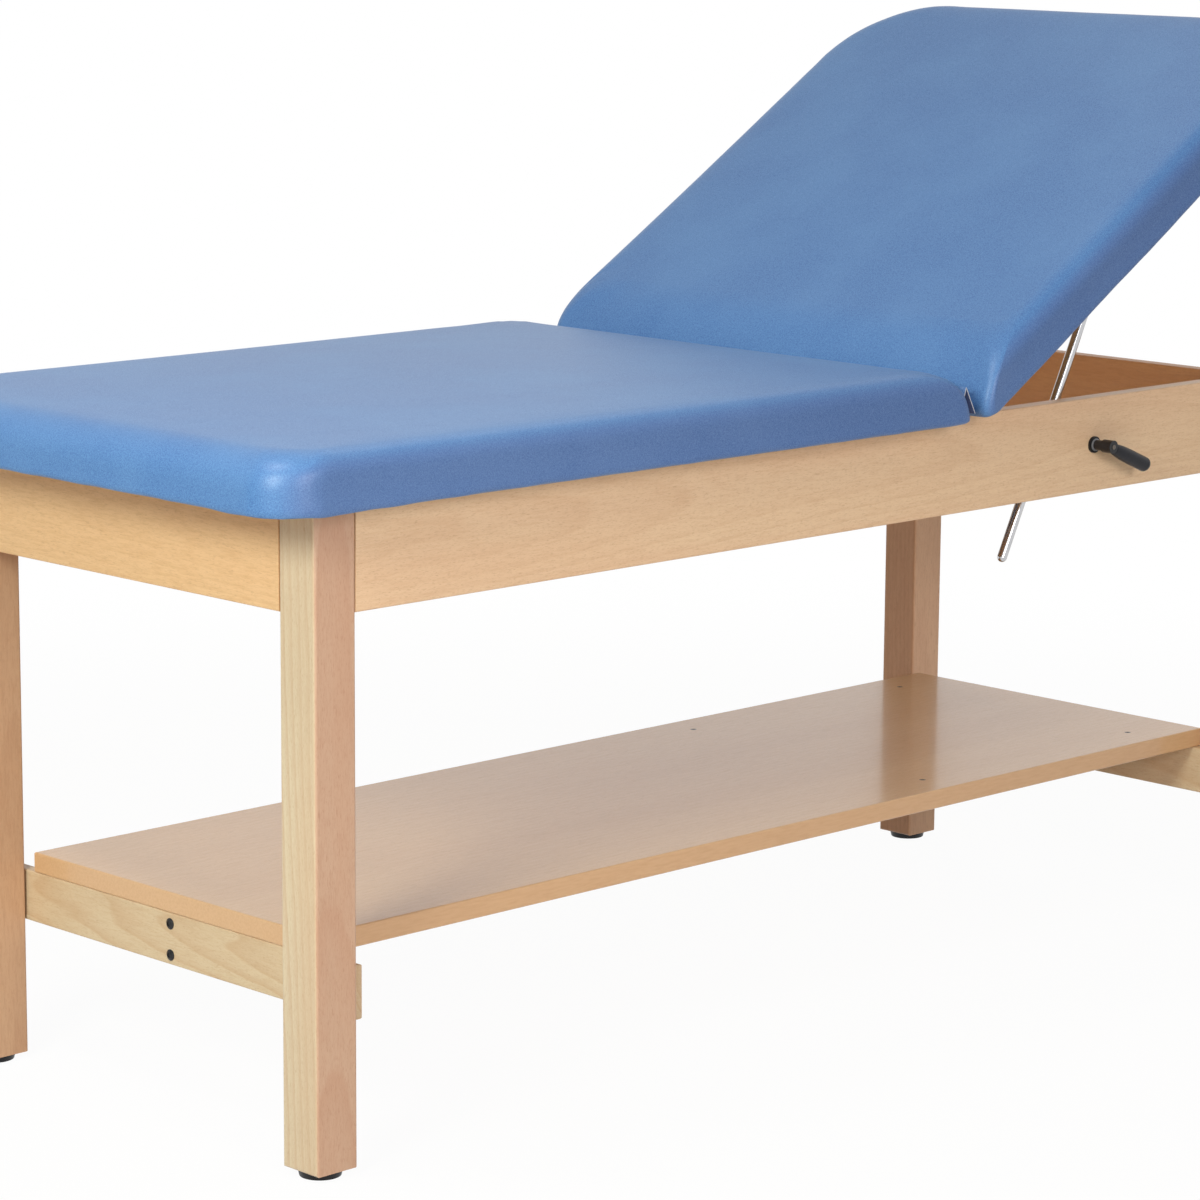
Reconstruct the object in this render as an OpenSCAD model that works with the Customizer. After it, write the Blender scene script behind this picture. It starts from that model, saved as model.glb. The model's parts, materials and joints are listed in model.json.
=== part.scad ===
// Treatment table: beech frame with a shelf, fixed foot section and a backrest held by a clamped prop rod.
// Millimetres. X runs from the foot end to the head end, Y across the table, Z up from the floor.

/* [Frame] */
// Length of the frame over its legs
frame_l = 1610; // [1300:10:2000]
// Width of the frame over its legs
frame_w = 620; // [540:10:800]
// Side of each square leg
leg_w = 55; // [48:1:70]
// Length of each leg
leg_h = 697; // [600:1:900]
// Radius of the eased edges of the legs
leg_ease = 3.5; // [1:0.5:6]
// Height of the side rails
rail_h = 114; // [100:1:140]
// Thickness of the side rails and end aprons
rail_t = 21; // [18:1:28]
// Radius of the eased edges of rails, aprons and boards
rail_ease = 2; // [0.5:0.5:4]
// How far the end aprons stay below the top of the side rails
apron_drop = 8; // [4:1:25]
// Width of each cross bar between the side rails
bar_w = 59; // [45:1:75]
// Height of each cross bar
bar_h = 45; // [35:1:60]

/* [Corner joints] */
// Length of each corner block along the rail
block_l = 60; // [45:1:80]
// Height of each corner block
block_h = 90; // [80:1:95]
// Gap from the block's top to the top of the rail
block_drop = 15; // [14:1:18]
// Diameter of the corner bolts
corner_bolt_d = 8; // [6:1:10]
// How far a corner bolt reaches into its leg
corner_bolt_in = 35; // [25:1:36]
// Diameter of the frame's dowels
dowel_d = 10; // [8:1:12]
// Length of the frame's dowels
dowel_l = 60; // [40:1:60]
// Length of the cross bars' dowels
bar_dowel_l = 40; // [30:1:50]

/* [Shelf and end rails] */
// Height of the lower end rails above the floor
low_rail_z = 160; // [120:1:300]
// Height of the lower end rails
low_rail_h = 58; // [50:1:80]
// Thickness of the lower end rails
low_rail_t = 16; // [14:1:24]
// Distance from the outer side of a leg to the end of a lower rail
low_rail_inset = 15; // [5:1:20]
// Thickness of the spacers between the legs and the lower rails
spacer_t = 3; // [2:0.5:6]
// Outer diameter of the spacers
spacer_d = 18; // [16:1:22]
// Diameter of the bolts that hold the lower rails to the legs
low_bolt_d = 6; // [5:1:7]
// How far those bolts reach into the legs
low_bolt_in = 30; // [20:1:40]
// Thickness of the shelf
shelf_t = 23; // [18:1:30]
// Gap in plan between the shelf's long edge and the inner side of the legs
shelf_gap = 13; // [5:1:30]
// Thickness of the stretcher below the shelf
stretcher_t = 20; // [18:1:30]
// Width of the battens below the shelf
batten_w = 40; // [30:1:60]
// Thickness of the battens
batten_t = 12; // [8:1:20]
// Distance of the shelf's screws from its long edges
shelf_screw_in = 48; // [30:1:80]

/* [Glides] */
// Diameter of a glide where it meets the leg
glide_top_d = 48; // [40:1:48]
// Diameter of a glide on the floor
glide_foot_d = 44; // [30:1:46]
// Height of a glide
glide_h = 8; // [6:0.5:14]

/* [Upholstery] */
// Thickness of the pads at the edge of their flat top
pad_t = 62; // [60:1:80]
// Thickness of the boards inside the pads
board_t = 16; // [12:1:20]
// Foam and cover between a board's edge and the outside of its pad
pad_wrap = 12; // [8:1:18]
// How far the pads stand out over the frame on each side
side_overhang = 55; // [50:1:90]
// How far the foot pad stands out over the frame at the foot end
foot_overhang = 90; // [30:5:140]
// Distance from the foot pad's end to the hinge axis
foot_pad_gap = 32; // [28:1:60]
// Height of the crown in the middle of each pad
pad_crown = 4; // [2:0.5:10]
// How far the long sides are drawn in between the corners
pad_draw = 2; // [0:0.5:4]
// Plan radius of the corners at the foot end
foot_corner_r = 60; // [30:5:90]
// Plan radius of the corners at the head end
head_corner_r = 140; // [60:5:180]
// Plan radius of the corners beside the gap
gap_corner_r = 15; // [10:1:25]
// Radius along the top edges
top_edge_r = 24; // [16:1:30]
// Radius along the bottom edges
low_edge_r = 5; // [3:1:8]
// Radius over the foot pad's end at the gap
gap_top_r = 65; // [60:1:75]
// Radius over the backrest's end at the gap
back_top_r = 125; // [110:5:140]
// Radius below the backrest's end at the gap
back_low_r = 22; // [16:1:24]

/* [Backrest] */
// Angle of the backrest as it stands
back_angle = 32; // [20:1:40]
// Distance of the hinge axis from the head end of the frame
hinge_to_head = 633; // [580:1:660]
// Depth of the hinge axis below the top of the rails
hinge_drop = 5; // [4.5:0.5:6]
// Length of the backrest from the hinge axis to the head end
back_l = 750; // [640:5:780]
// Length of the backrest behind the hinge axis
back_tail = 28; // [24:1:30]
// Gap between the backrest and the rails when it lies flat
rest_gap = 0.4; // [0.3:0.1:1]
// Distance of each hinge's middle from the outer side of the frame
hinge_inset = 110; // [90:5:180]
// Length of each hinge
hinge_l = 75; // [50:5:100]
// Diameter of the hinge knuckles
knuckle_d = 8; // [7:0.5:8]
// Diameter of the hinge pins
hinge_pin_d = 4; // [3:0.5:5]
// Thickness of the hinge leaves
leaf_t = 2; // [1.5:0.5:2]

/* [Prop] */
// Diameter of the prop rod
rod_d = 12; // [10:0.5:14]
// Length of the rod from its pivot to its lower end
rod_l = 446; // [400:2:470]
// Distance of the rod's pivot from the hinge axis, along the backrest
pivot_u = 415; // [405:1:425]
// Depth of the rod's pivot below the hinge axis, square to the backrest
pivot_drop = 16.8; // [15:0.1:22]
// Distance of the rod's centre from the outer side of the near rail
rod_inset = 64.5; // [62:0.5:80]
// Diameter of the rod's pivot pin
rod_pin_d = 6; // [5:0.5:6]
// Diameter of the eye at the rod's upper end
rod_eye_d = 16; // [14:0.5:18]

/* [Clamp] */
// Distance of the clamp's axis from the hinge axis, along the rail
clamp_from_hinge = 251; // [243:1:259]
// How far the rod lies to the side of the clamp's axis as the backrest stands
rod_side = 17.5; // [15:0.5:19]
// Sideways room for the rod in the guide, on each side of the clamp's axis
guide_room = 27; // [26.5:0.5:32]
// Length of the guide along the rod
guide_l = 34; // [28:1:44]
// Wall of the guide
guide_wall = 3; // [2.5:0.5:4]
// Diameter of the pressure pad
pad_d = 44; // [36:1:46]
// Thickness of the pressure pad
press_t = 6; // [5:0.5:8]
// Diameter of the clamp's spindle
spindle_d = 10; // [8:0.5:11]
// Outer diameter of the bearing's collar
collar_d = 26; // [24:1:30]
// Diameter of the bearing's neck, on which the guide turns
neck_d = 20; // [17:0.5:22]
// Side of the bearing's square plate
bearing_w = 46; // [44:1:60]
// Diameter of the flange on the outer side of the rail
flange_d = 20; // [19:0.5:30]
// Thickness of that flange
flange_t = 3; // [2:0.5:5]

/* [Lever] */
// Distance of the lever's grip from the rail
lever_out = 21; // [18:1:26]
// Diameter of the lever's neck
lever_neck_d = 12.5; // [12.5:0.5:15]
// Diameter of the lever's boss
lever_boss_d = 16; // [15:0.5:18]
// Length of the grip from the lever's axis to its tip
grip_l = 71; // [55:1:76]
// Diameter of the grip at its root
grip_root_d = 13.5; // [13.5:0.5:15]
// Diameter of the grip near its tip
grip_tip_d = 18; // [15:0.5:20]
// Angle of the tightened grip below the horizontal
grip_angle = 24; // [10:1:45]
// Angle at which the grip leans away from the rail
grip_lean = 6; // [0:1:8]

/* [Hidden] */
$fn = 48;

// Overrun of every cut past the face that it opens
over = 1;
// Half sizes that many places use
half_w = frame_w / 2;
// Frame ends: the table is centred over its full length, foot overhang and all
frame_x0 = (foot_overhang - frame_l) / 2;
frame_x1 = frame_x0 + frame_l;
rail_top = glide_h + leg_h;
rail_z0 = rail_top - rail_h;
leg_in_x0 = frame_x0 + leg_w;
leg_in_x1 = frame_x1 - leg_w;
leg_in_y = half_w - leg_w;
pad_half_w = half_w + side_overhang;

// Radial room: fixed fits, running fits, and the gap between neighbours that move
fix_fit = 0.02;
run_fit = 0.05;
move_gap = 0.3;

// Fasteners
wood_screw_d = 4;
wood_screw_head_d = 8;
wood_screw_head_t = 1.6;
board_screw_d = 5;
board_screw_head_d = 10;
board_screw_head_t = 2;
washer_t = 1.6;
washer_d = 20;
nut_w = 13;
nut_t = 6.5;
bolt_tail = 4;
hex_sides = 6;

// Places of the axes
hinge_x = frame_x1 - hinge_to_head;
hinge_z = rail_top - hinge_drop;
clamp_x = hinge_x + clamp_from_hinge;
clamp_z = (rail_z0 + rail_top) / 2;
rod_y = -half_w + rod_inset;
rail_in_y = half_w - rail_t;
back_v0 = hinge_drop + rest_gap;

// Rounded bar profiles

module soft_square(w, h, r) {
    translate([r, 0]) square([w - 2 * r, h]);
    translate([0, r]) square([w, h - 2 * r]);
    for (x = [r, w - r], y = [r, h - r]) translate([x, y]) circle(r);
}

// Board along X, with its four long edges eased
module board_x(l, w, h, r) {
    rotate([90, 0, 90]) linear_extrude(l) soft_square(w, h, r);
}

// Board along Y, with its four long edges eased
module board_y(l, w, h, r) {
    translate([0, l, 0]) rotate([90, 0, 0]) linear_extrude(l) soft_square(w, h, r);
}

// Rod along X, Y or Z from the origin
module rod_x(l, d) { rotate([0, 90, 0]) cylinder(l, d = d); }
module rod_y(l, d) { rotate([-90, 0, 0]) cylinder(l, d = d); }

// Screw along -Z from the face that its head bears on, head above
module screw(d, l, head_d, head_t) {
    translate([0, 0, -l]) cylinder(l, d = d);
    cylinder(head_t, d = head_d);
}

// Domed bolt head of a sphere cut by the face that it bears on
module dome(d, h) {
    ball_r = (d * d / 4 + h * h) / (2 * h);
    intersection() {
        translate([0, 0, h - ball_r]) sphere(ball_r);
        cylinder(h + over, d = d + over);
    }
}

// Frame

// End of a leg's hidden bores: dowels of rail and apron, corner bolts, lower rail bolt and glide screw
dowel_z_share = [0.25, 0.75];
rail_dowel_z = [for (s = dowel_z_share) rail_z0 + s * rail_h];
apron_dowel_z_share = [0.35, 0.65];
apron_dowel_z = [for (s = apron_dowel_z_share) rail_z0 + s * (rail_h - apron_drop)];
block_z0 = rail_top - block_drop - block_h;
corner_bolt_z_share = [0.25, 0.75];
corner_bolt_z = [for (s = corner_bolt_z_share) block_z0 + s * block_h];
low_bolt_z = low_rail_z + low_rail_h / 2;
low_bolt_y = half_w - leg_w / 2;
glide_screw_d = 5;
glide_screw_in = 30;
leg_foot_chamfer = 2;

// The corner at the foot end and near side, mirrored to the other three
module at_corner(head, far) {
    translate([(frame_x0 + frame_x1) / 2, 0, 0])
        mirror([head ? 1 : 0, 0, 0]) mirror([0, far ? 1 : 0, 0])
            translate([-frame_l / 2, -half_w, 0]) children();
}

module leg_outline(w, z0, z1, c) {
    polygon([[c, z0], [w - c, z0], [w, z0 + c], [w, z1], [0, z1], [0, z0 + c]]);
}

module leg() {
    difference() {
        intersection() {
            translate([0, 0, glide_h]) linear_extrude(leg_h) soft_square(leg_w, leg_w, leg_ease);
            translate([0, leg_w + over, 0]) rotate([90, 0, 0])
                linear_extrude(leg_w + 2 * over) leg_outline(leg_w, glide_h, rail_top, leg_foot_chamfer);
        }
        for (z = rail_dowel_z)
            translate([leg_w - dowel_l / 2, rail_t / 2, z]) rod_x(dowel_l / 2 + over, dowel_d + 2 * fix_fit);
        for (z = apron_dowel_z)
            translate([rail_t / 2, leg_w - dowel_l / 2, z]) rod_y(dowel_l / 2 + over, dowel_d + 2 * fix_fit);
        for (z = corner_bolt_z)
            translate([leg_w, leg_w, z]) rotate([0, 0, 45])
                translate([-corner_bolt_in, 0, 0]) rod_x(corner_bolt_in + over, corner_bolt_d + 2 * fix_fit);
        translate([leg_w - low_bolt_in, leg_w / 2, low_bolt_z])
            rod_x(low_bolt_in + over, low_bolt_d + 2 * fix_fit);
        translate([leg_w / 2, leg_w / 2, glide_h - over])
            cylinder(glide_screw_in + over, d = glide_screw_d + 2 * fix_fit);
    }
}

module leg_foot_near() { color("#dcbd96") at_corner(false, false) leg(); }
module leg_foot_far() { color("#dcbd96") at_corner(false, true) leg(); }
module leg_head_near() { color("#dcbd96") at_corner(true, false) leg(); }
module leg_head_far() { color("#dcbd96") at_corner(true, true) leg(); }

// Dowel bores of the cross bars, as distances from the rail's top
bar_dowel_z = rail_top - bar_h / 2;
bar_dowel_in = 12;
bar_dowel_x_share = [0.25, 0.75];
hinge_bar_x1 = hinge_x - knuckle_d / 2 - move_gap - leaf_t;
hinge_bar_x0 = hinge_bar_x1 - bar_w;
// Place of the middle bar, as a share of the way from the foot end to the hinge axis
middle_bar_share = 0.44;
middle_bar_x0 = frame_x0 + middle_bar_share * (hinge_x - frame_x0) - bar_w / 2;
bar_starts = [hinge_bar_x0, middle_bar_x0];

// Side rail in its own place on the near side, without the clamp's bore
module side_rail() {
    rail_l = leg_in_x1 - leg_in_x0;
    difference() {
        translate([leg_in_x0, -half_w, rail_z0]) board_x(rail_l, rail_t, rail_h, rail_ease);
        for (z = rail_dowel_z, x = [leg_in_x0 - over, leg_in_x1 - dowel_l / 2])
            translate([x, -half_w + rail_t / 2, z]) rod_x(dowel_l / 2 + over, dowel_d + 2 * fix_fit);
        for (x0 = bar_starts, s = bar_dowel_x_share)
            translate([x0 + s * bar_w, -rail_in_y - bar_dowel_in, bar_dowel_z])
                rod_y(bar_dowel_in + over, dowel_d + 2 * fix_fit);
    }
}

// Screws of the bearing's plate
bearing_t = 4;
bearing_tube_d = 16;
bearing_screw_l = 16;
bearing_screw_at = bearing_w / 2 - wood_screw_head_d / 2 - rail_ease;

module side_rail_near() {
    color("#dab893") difference() {
        side_rail();
        translate([clamp_x, -half_w - over, clamp_z]) rod_y(rail_t + 2 * over, bearing_tube_d + 2 * fix_fit);
        for (x = [-bearing_screw_at, bearing_screw_at], z = [-bearing_screw_at, bearing_screw_at])
            translate([clamp_x + x, -rail_in_y + bearing_t - bearing_screw_l, clamp_z + z])
                rod_y(bearing_screw_l, wood_screw_d + 2 * fix_fit);
    }
}

module side_rail_far() { color("#dab893") mirror([0, 1, 0]) side_rail(); }

module apron() {
    apron_l = 2 * leg_in_y;
    difference() {
        translate([0, -leg_in_y, rail_z0]) board_y(apron_l, rail_t, rail_h - apron_drop, rail_ease);
        for (z = apron_dowel_z, y = [-leg_in_y - over, leg_in_y - dowel_l / 2])
            translate([rail_t / 2, y, z]) rod_y(dowel_l / 2 + over, dowel_d + 2 * fix_fit);
    }
}

module apron_foot() { color("#e3c295") translate([frame_x0, 0, 0]) apron(); }
module apron_head() { color("#dab893") translate([frame_x1 - rail_t, 0, 0]) apron(); }

// Cross bar between the rails, bored at its ends for dowels and from below for the board's screws
board_screw_in = 12;
board_screw_y_share = [-0.7, 0, 0.7];

module cross_bar(x0, board_x) {
    end_bore_l = bar_dowel_l - bar_dowel_in;
    difference() {
        translate([x0, -rail_in_y, rail_top - bar_h]) board_y(2 * rail_in_y, bar_w, bar_h, rail_ease);
        for (s = bar_dowel_x_share, y = [-rail_in_y - over, rail_in_y - end_bore_l])
            translate([x0 + s * bar_w, y, bar_dowel_z]) rod_y(end_bore_l + over, dowel_d + 2 * fix_fit);
        for (s = board_screw_y_share)
            translate([board_x, s * rail_in_y, rail_top - bar_h - over])
                cylinder(bar_h + 2 * over, d = board_screw_d + 2 * fix_fit);
    }
}

// The foot board's screws stand where the board lies over each bar
foot_pad_x0 = frame_x0 - foot_overhang;
foot_pad_x1 = hinge_x - foot_pad_gap;
foot_board_x1 = foot_pad_x1 - pad_wrap;
hinge_bar_screw_x = hinge_bar_x0 + board_screw_head_d / 2;
middle_bar_screw_x = middle_bar_x0 + bar_w / 2;

// Screws of the hinge leaves on the hinge bar
leaf_h = 34;
leaf_screw_drop = 24;
leaf_screw_share = [-0.36, 0, 0.36];
leaf_screw_l = 22;
hinge_ys = [-half_w + hinge_inset, half_w - hinge_inset];

module hinge_bar() {
    color("#d2ad85") difference() {
        cross_bar(hinge_bar_x0, hinge_bar_screw_x);
        for (y = hinge_ys, s = leaf_screw_share)
            translate([hinge_bar_x1 + leaf_t - leaf_screw_l, y + s * hinge_l, hinge_z - leaf_screw_drop])
                rod_x(leaf_screw_l, wood_screw_d + 2 * fix_fit);
    }
}

module middle_bar() { color("#d2ad85") cross_bar(middle_bar_x0, middle_bar_screw_x); }

module frame_dowels() {
    color("#cfa878") {
        for (head = [false, true], far = [false, true]) at_corner(head, far) {
            for (z = rail_dowel_z)
                translate([leg_w - dowel_l / 2, rail_t / 2, z]) rod_x(dowel_l, dowel_d);
            for (z = apron_dowel_z)
                translate([rail_t / 2, leg_w - dowel_l / 2, z]) rod_y(dowel_l, dowel_d);
        }
        for (x0 = bar_starts, s = bar_dowel_x_share, side = [0, 1]) mirror([0, side, 0])
            translate([x0 + s * bar_w, -rail_in_y - bar_dowel_in, bar_dowel_z])
                rod_y(bar_dowel_l, dowel_d);
    }
}

// Corner block that hugs the inner corner of a leg, bored along the diagonal

module corner_block() {
    block_shape = [[leg_w, rail_t], [leg_w + block_l, rail_t], [rail_t, leg_w + block_l],
        [rail_t, leg_w], [leg_w, leg_w]];
    difference() {
        translate([0, 0, block_z0]) linear_extrude(block_h) polygon(block_shape);
        for (z = corner_bolt_z)
            translate([leg_w, leg_w, z]) rotate([0, 0, 45])
                translate([-corner_bolt_d, 0, 0]) rod_x(block_l + corner_bolt_d, corner_bolt_d + 2 * fix_fit);
    }
}

module corner_blocks() {
    color("#cba373") for (head = [false, true], far = [false, true]) at_corner(head, far) corner_block();
}

// Distance along the diagonal from the leg's inner corner to the block's slanted face
block_depth = (rail_t + block_l - leg_w) / sqrt(2);

module corner_bolt() {
    translate([-corner_bolt_in, 0, 0])
        rod_x(corner_bolt_in + block_depth + washer_t + nut_t + bolt_tail, corner_bolt_d);
    translate([block_depth, 0, 0]) rod_x(washer_t, washer_d);
    translate([block_depth + washer_t, 0, 0]) rotate([0, 90, 0])
        cylinder(nut_t, d = nut_w / cos(180 / hex_sides), $fn = hex_sides);
}

module corner_bolts() {
    color("#b9bcc0") for (head = [false, true], far = [false, true], z = corner_bolt_z)
        at_corner(head, far) translate([leg_w, leg_w, z]) rotate([0, 0, 45]) corner_bolt();
}

// Lower end rails, shelf and stretcher

low_x0 = leg_in_x0 + spacer_t;
low_x1 = leg_in_x1 - spacer_t;
low_half = half_w - low_rail_inset;
stretcher_bolt_d = 6;
stretcher_head_d = 12.5;
stretcher_head_t = 3;
stretcher_bolt_in = 40;
barrel_at = 32;
barrel_d = 10;
barrel_share = 0.7;
stretcher_bolt_z_share = [0.19, 0.79];
stretcher_bolt_z = [for (s = stretcher_bolt_z_share) low_rail_z + s * low_rail_h];

// Lower end rail at the foot end; the head one mirrors it about the middle of the frame
module at_end(head) {
    translate([(frame_x0 + frame_x1) / 2, 0, 0]) mirror([head ? 1 : 0, 0, 0])
        translate([-frame_l / 2 + leg_w, 0, 0]) children();
}

module lower_rail() {
    difference() {
        translate([spacer_t, -low_half, low_rail_z])
            board_y(2 * low_half, low_rail_t, low_rail_h, rail_ease);
        for (y = [-low_bolt_y, low_bolt_y])
            translate([0, y, low_bolt_z]) rod_x(low_rail_t + spacer_t + over, low_bolt_d + 2 * fix_fit);
        for (z = stretcher_bolt_z)
            translate([0, 0, z]) rod_x(low_rail_t + spacer_t + over, stretcher_bolt_d + 2 * fix_fit);
    }
}

module lower_rail_foot() { color("#d8b48a") at_end(false) lower_rail(); }
module lower_rail_head() { color("#d8b48a") at_end(true) lower_rail(); }

module lower_rail_spacers() {
    color("#c9ccd0") for (head = [false, true], y = [-low_bolt_y, low_bolt_y]) at_end(head)
        translate([0, y, low_bolt_z]) difference() {
            rod_x(spacer_t, spacer_d);
            translate([-over, 0, 0]) rod_x(spacer_t + 2 * over, low_bolt_d + 2 * fix_fit);
        }
}

low_bolt_head_d = 11;
low_bolt_head_t = 3.5;

module lower_rail_bolts() {
    color("#b9bcc0") for (head = [false, true], y = [-low_bolt_y, low_bolt_y]) at_end(head)
        translate([0, y, low_bolt_z]) {
            translate([-low_bolt_in, 0, 0]) rod_x(low_bolt_in + spacer_t + low_rail_t, low_bolt_d);
            translate([spacer_t + low_rail_t, 0, 0]) rotate([0, 90, 0]) dome(low_bolt_head_d, low_bolt_head_t);
        }
}

stretcher_x0 = low_x0 + low_rail_t;
stretcher_x1 = low_x1 - low_rail_t;

module stretcher() {
    bore_l = stretcher_bolt_in + bolt_tail;
    color("#d8b48a") difference() {
        translate([stretcher_x0, -stretcher_t / 2, low_rail_z])
            board_x(stretcher_x1 - stretcher_x0, stretcher_t, low_rail_h, rail_ease);
        for (head = [false, true], z = stretcher_bolt_z) at_end(head)
            translate([spacer_t + low_rail_t - over, 0, z]) {
                rod_x(bore_l + over, stretcher_bolt_d + 2 * fix_fit);
                translate([barrel_at + over, -stretcher_t / 2 - over, 0])
                    rod_y(stretcher_t + 2 * over, barrel_d + 2 * fix_fit);
            }
    }
}

module stretcher_bolts() {
    color("#1d1d20") for (head = [false, true], z = stretcher_bolt_z) at_end(head)
        translate([spacer_t, 0, z]) {
            rod_x(low_rail_t + stretcher_bolt_in, stretcher_bolt_d);
            mirror([1, 0, 0]) rotate([0, 90, 0]) dome(stretcher_head_d, stretcher_head_t);
        }
}

module barrel_nuts() {
    nut_l = barrel_share * stretcher_t;
    color("#b9bcc0") for (head = [false, true], z = stretcher_bolt_z) at_end(head)
        translate([spacer_t + low_rail_t + barrel_at, 0, z]) difference() {
            translate([0, -nut_l / 2, 0]) rod_y(nut_l, barrel_d);
            translate([-barrel_d, 0, 0]) rod_x(2 * barrel_d, stretcher_bolt_d + 2 * fix_fit);
        }
}

shelf_z0 = low_rail_z + low_rail_h;
shelf_half = leg_in_y - shelf_gap;
shelf_screw_y = shelf_half - shelf_screw_in;
shelf_screw_l = 30;
batten_end_gap = 38;
// Places of the battens along the shelf, as shares of its length
batten_x_share = [0.0616, 0.3273, 0.6727, 0.9384];
batten_xs = [for (s = batten_x_share) low_x0 + s * (low_x1 - low_x0)];
// Only the two battens of the head half are screwed from above, the others are glued
screwed_battens = [2, 3];
screw_xs = [for (i = screwed_battens) batten_xs[i]];

module shelf() {
    color("#cdb391") difference() {
        intersection() {
            translate([low_x0, -shelf_half, shelf_z0])
                board_x(low_x1 - low_x0, 2 * shelf_half, shelf_t, rail_ease);
            translate([low_x0, -shelf_half - over, shelf_z0])
                board_y(2 * shelf_half + 2 * over, low_x1 - low_x0, shelf_t, rail_ease);
        }
        for (x = screw_xs, y = [-shelf_screw_y, shelf_screw_y])
            translate([x, y, shelf_z0 - over]) {
                cylinder(shelf_t + 2 * over, d = wood_screw_d + 2 * fix_fit);
                translate([0, 0, shelf_t - wood_screw_head_t + over])
                    cylinder(wood_screw_head_t + over, d = wood_screw_head_d + 2 * fix_fit);
            }
    }
}

module shelf_battens() {
    batten_l = shelf_half - batten_end_gap - stretcher_t / 2;
    color("#cba373") for (x = batten_xs, side = [0, 1]) mirror([0, side, 0]) difference() {
        translate([x - batten_w / 2, stretcher_t / 2, shelf_z0 - batten_t])
            cube([batten_w, batten_l, batten_t]);
        for (screw_x = screw_xs) translate([screw_x, shelf_screw_y, shelf_z0 - batten_t - over])
            cylinder(batten_t + 2 * over, d = wood_screw_d + 2 * fix_fit);
    }
}

module shelf_screws() {
    color("#9a9a98") for (x = screw_xs, y = [-shelf_screw_y, shelf_screw_y])
        translate([x, y, shelf_z0 + shelf_t - wood_screw_head_t])
            screw(wood_screw_d, shelf_screw_l, wood_screw_head_d, wood_screw_head_t);
}

// Glides

glide_recess = 3;
glide_head_d = 10;
glide_head_t = 3;

module glide() {
    translate([leg_w / 2, leg_w / 2, 0]) difference() {
        cylinder(glide_h, d1 = glide_foot_d, d2 = glide_top_d);
        translate([0, 0, -over]) cylinder(glide_h + 2 * over, d = glide_screw_d + 2 * fix_fit);
        translate([0, 0, -over])
            cylinder(glide_recess + over, d = glide_head_d + 2 * run_fit);
    }
}

module glide_foot_near() { color("#17171a") at_corner(false, false) glide(); }
module glide_foot_far() { color("#17171a") at_corner(false, true) glide(); }
module glide_head_near() { color("#17171a") at_corner(true, false) glide(); }
module glide_head_far() { color("#17171a") at_corner(true, true) glide(); }

module glide_screws() {
    color("#b9bcc0") for (head = [false, true], far = [false, true]) at_corner(head, far)
        translate([leg_w / 2, leg_w / 2, glide_recess]) rotate([180, 0, 0])
            screw(glide_screw_d, glide_h - glide_recess + glide_screw_in - over, glide_head_d,
                glide_head_t - over);
}

// Pads: stacked rings of rounded outline, with a crown on top and a pocket for the board

arc_n = 6;
long_n = 8;
short_n = 5;
// Ring heights, as shares of each edge's radius
low_share = [0, 0.13, 0.4, 1];
top_share = [0, 0.3, 0.55, 0.76, 0.9, 0.975, 1];
// Ring heights between the lower edges and the top edges, as shares of the wall there
deep_share = [0.2, 0.45, 0.72];
// How much a corner's radius grows as its sides draw in, at the open ends and at the gap
open_grow_share = -0.5;
gap_grow_share = 0.6;
// Crown rings, as shares of the way in from the edge of the flat top
crown_share = [0.08, 0.22, 0.45, 0.75];
// Largest corner of a crown ring, as a share of half its width
crown_corner_share = 0.8;

function arc_pts(x, y, r, a) =
    [for (i = [0:arc_n]) [x + r * cos(a + 90 * i / arc_n), y + r * sin(a + 90 * i / arc_n)]];

// Points inside a straight side from p to q, drawn in by d at its middle along n
function side_pts(p, q, count, d, n) =
    [for (i = [1:count]) let (s = i / (count + 1)) p + s * (q - p) + 4 * s * (1 - s) * d * n];

function pad_ring(x0, x1, hw, r0, r1, d) = concat(
    arc_pts(x0 + r0, -hw + r0, r0, 180),
    side_pts([x0 + r0, -hw], [x1 - r1, -hw], long_n, d, [0, 1]),
    arc_pts(x1 - r1, -hw + r1, r1, 270),
    side_pts([x1, -hw + r1], [x1, hw - r1], short_n, d / 2, [-1, 0]),
    arc_pts(x1 - r1, hw - r1, r1, 0),
    side_pts([x1 - r1, hw], [x0 + r0, hw], long_n, d, [0, -1]),
    arc_pts(x0 + r0, hw - r0, r0, 90),
    side_pts([x0, hw - r0], [x0, -hw + r0], short_n, d / 2, [1, 0]));

// How far a side has drawn in at height h, by its lower and by its upper radius
function edge_in(h, low_r, up_r) =
    (h < low_r ? low_r - sqrt(max(0, low_r * low_r - (low_r - h) * (low_r - h))) : 0) +
    (h > pad_t - up_r ? up_r - sqrt(max(0, up_r * up_r - (h - pad_t + up_r) * (h - pad_t + up_r))) : 0);

// Plan radius of a corner at height h, which changes as the top edges of its two sides draw in
function corner_r(r, h, up_r, grow) =
    max(gap_corner_r / 2, r + grow * min(edge_in(h, 0, up_r), edge_in(h, 0, top_edge_r)));

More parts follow.
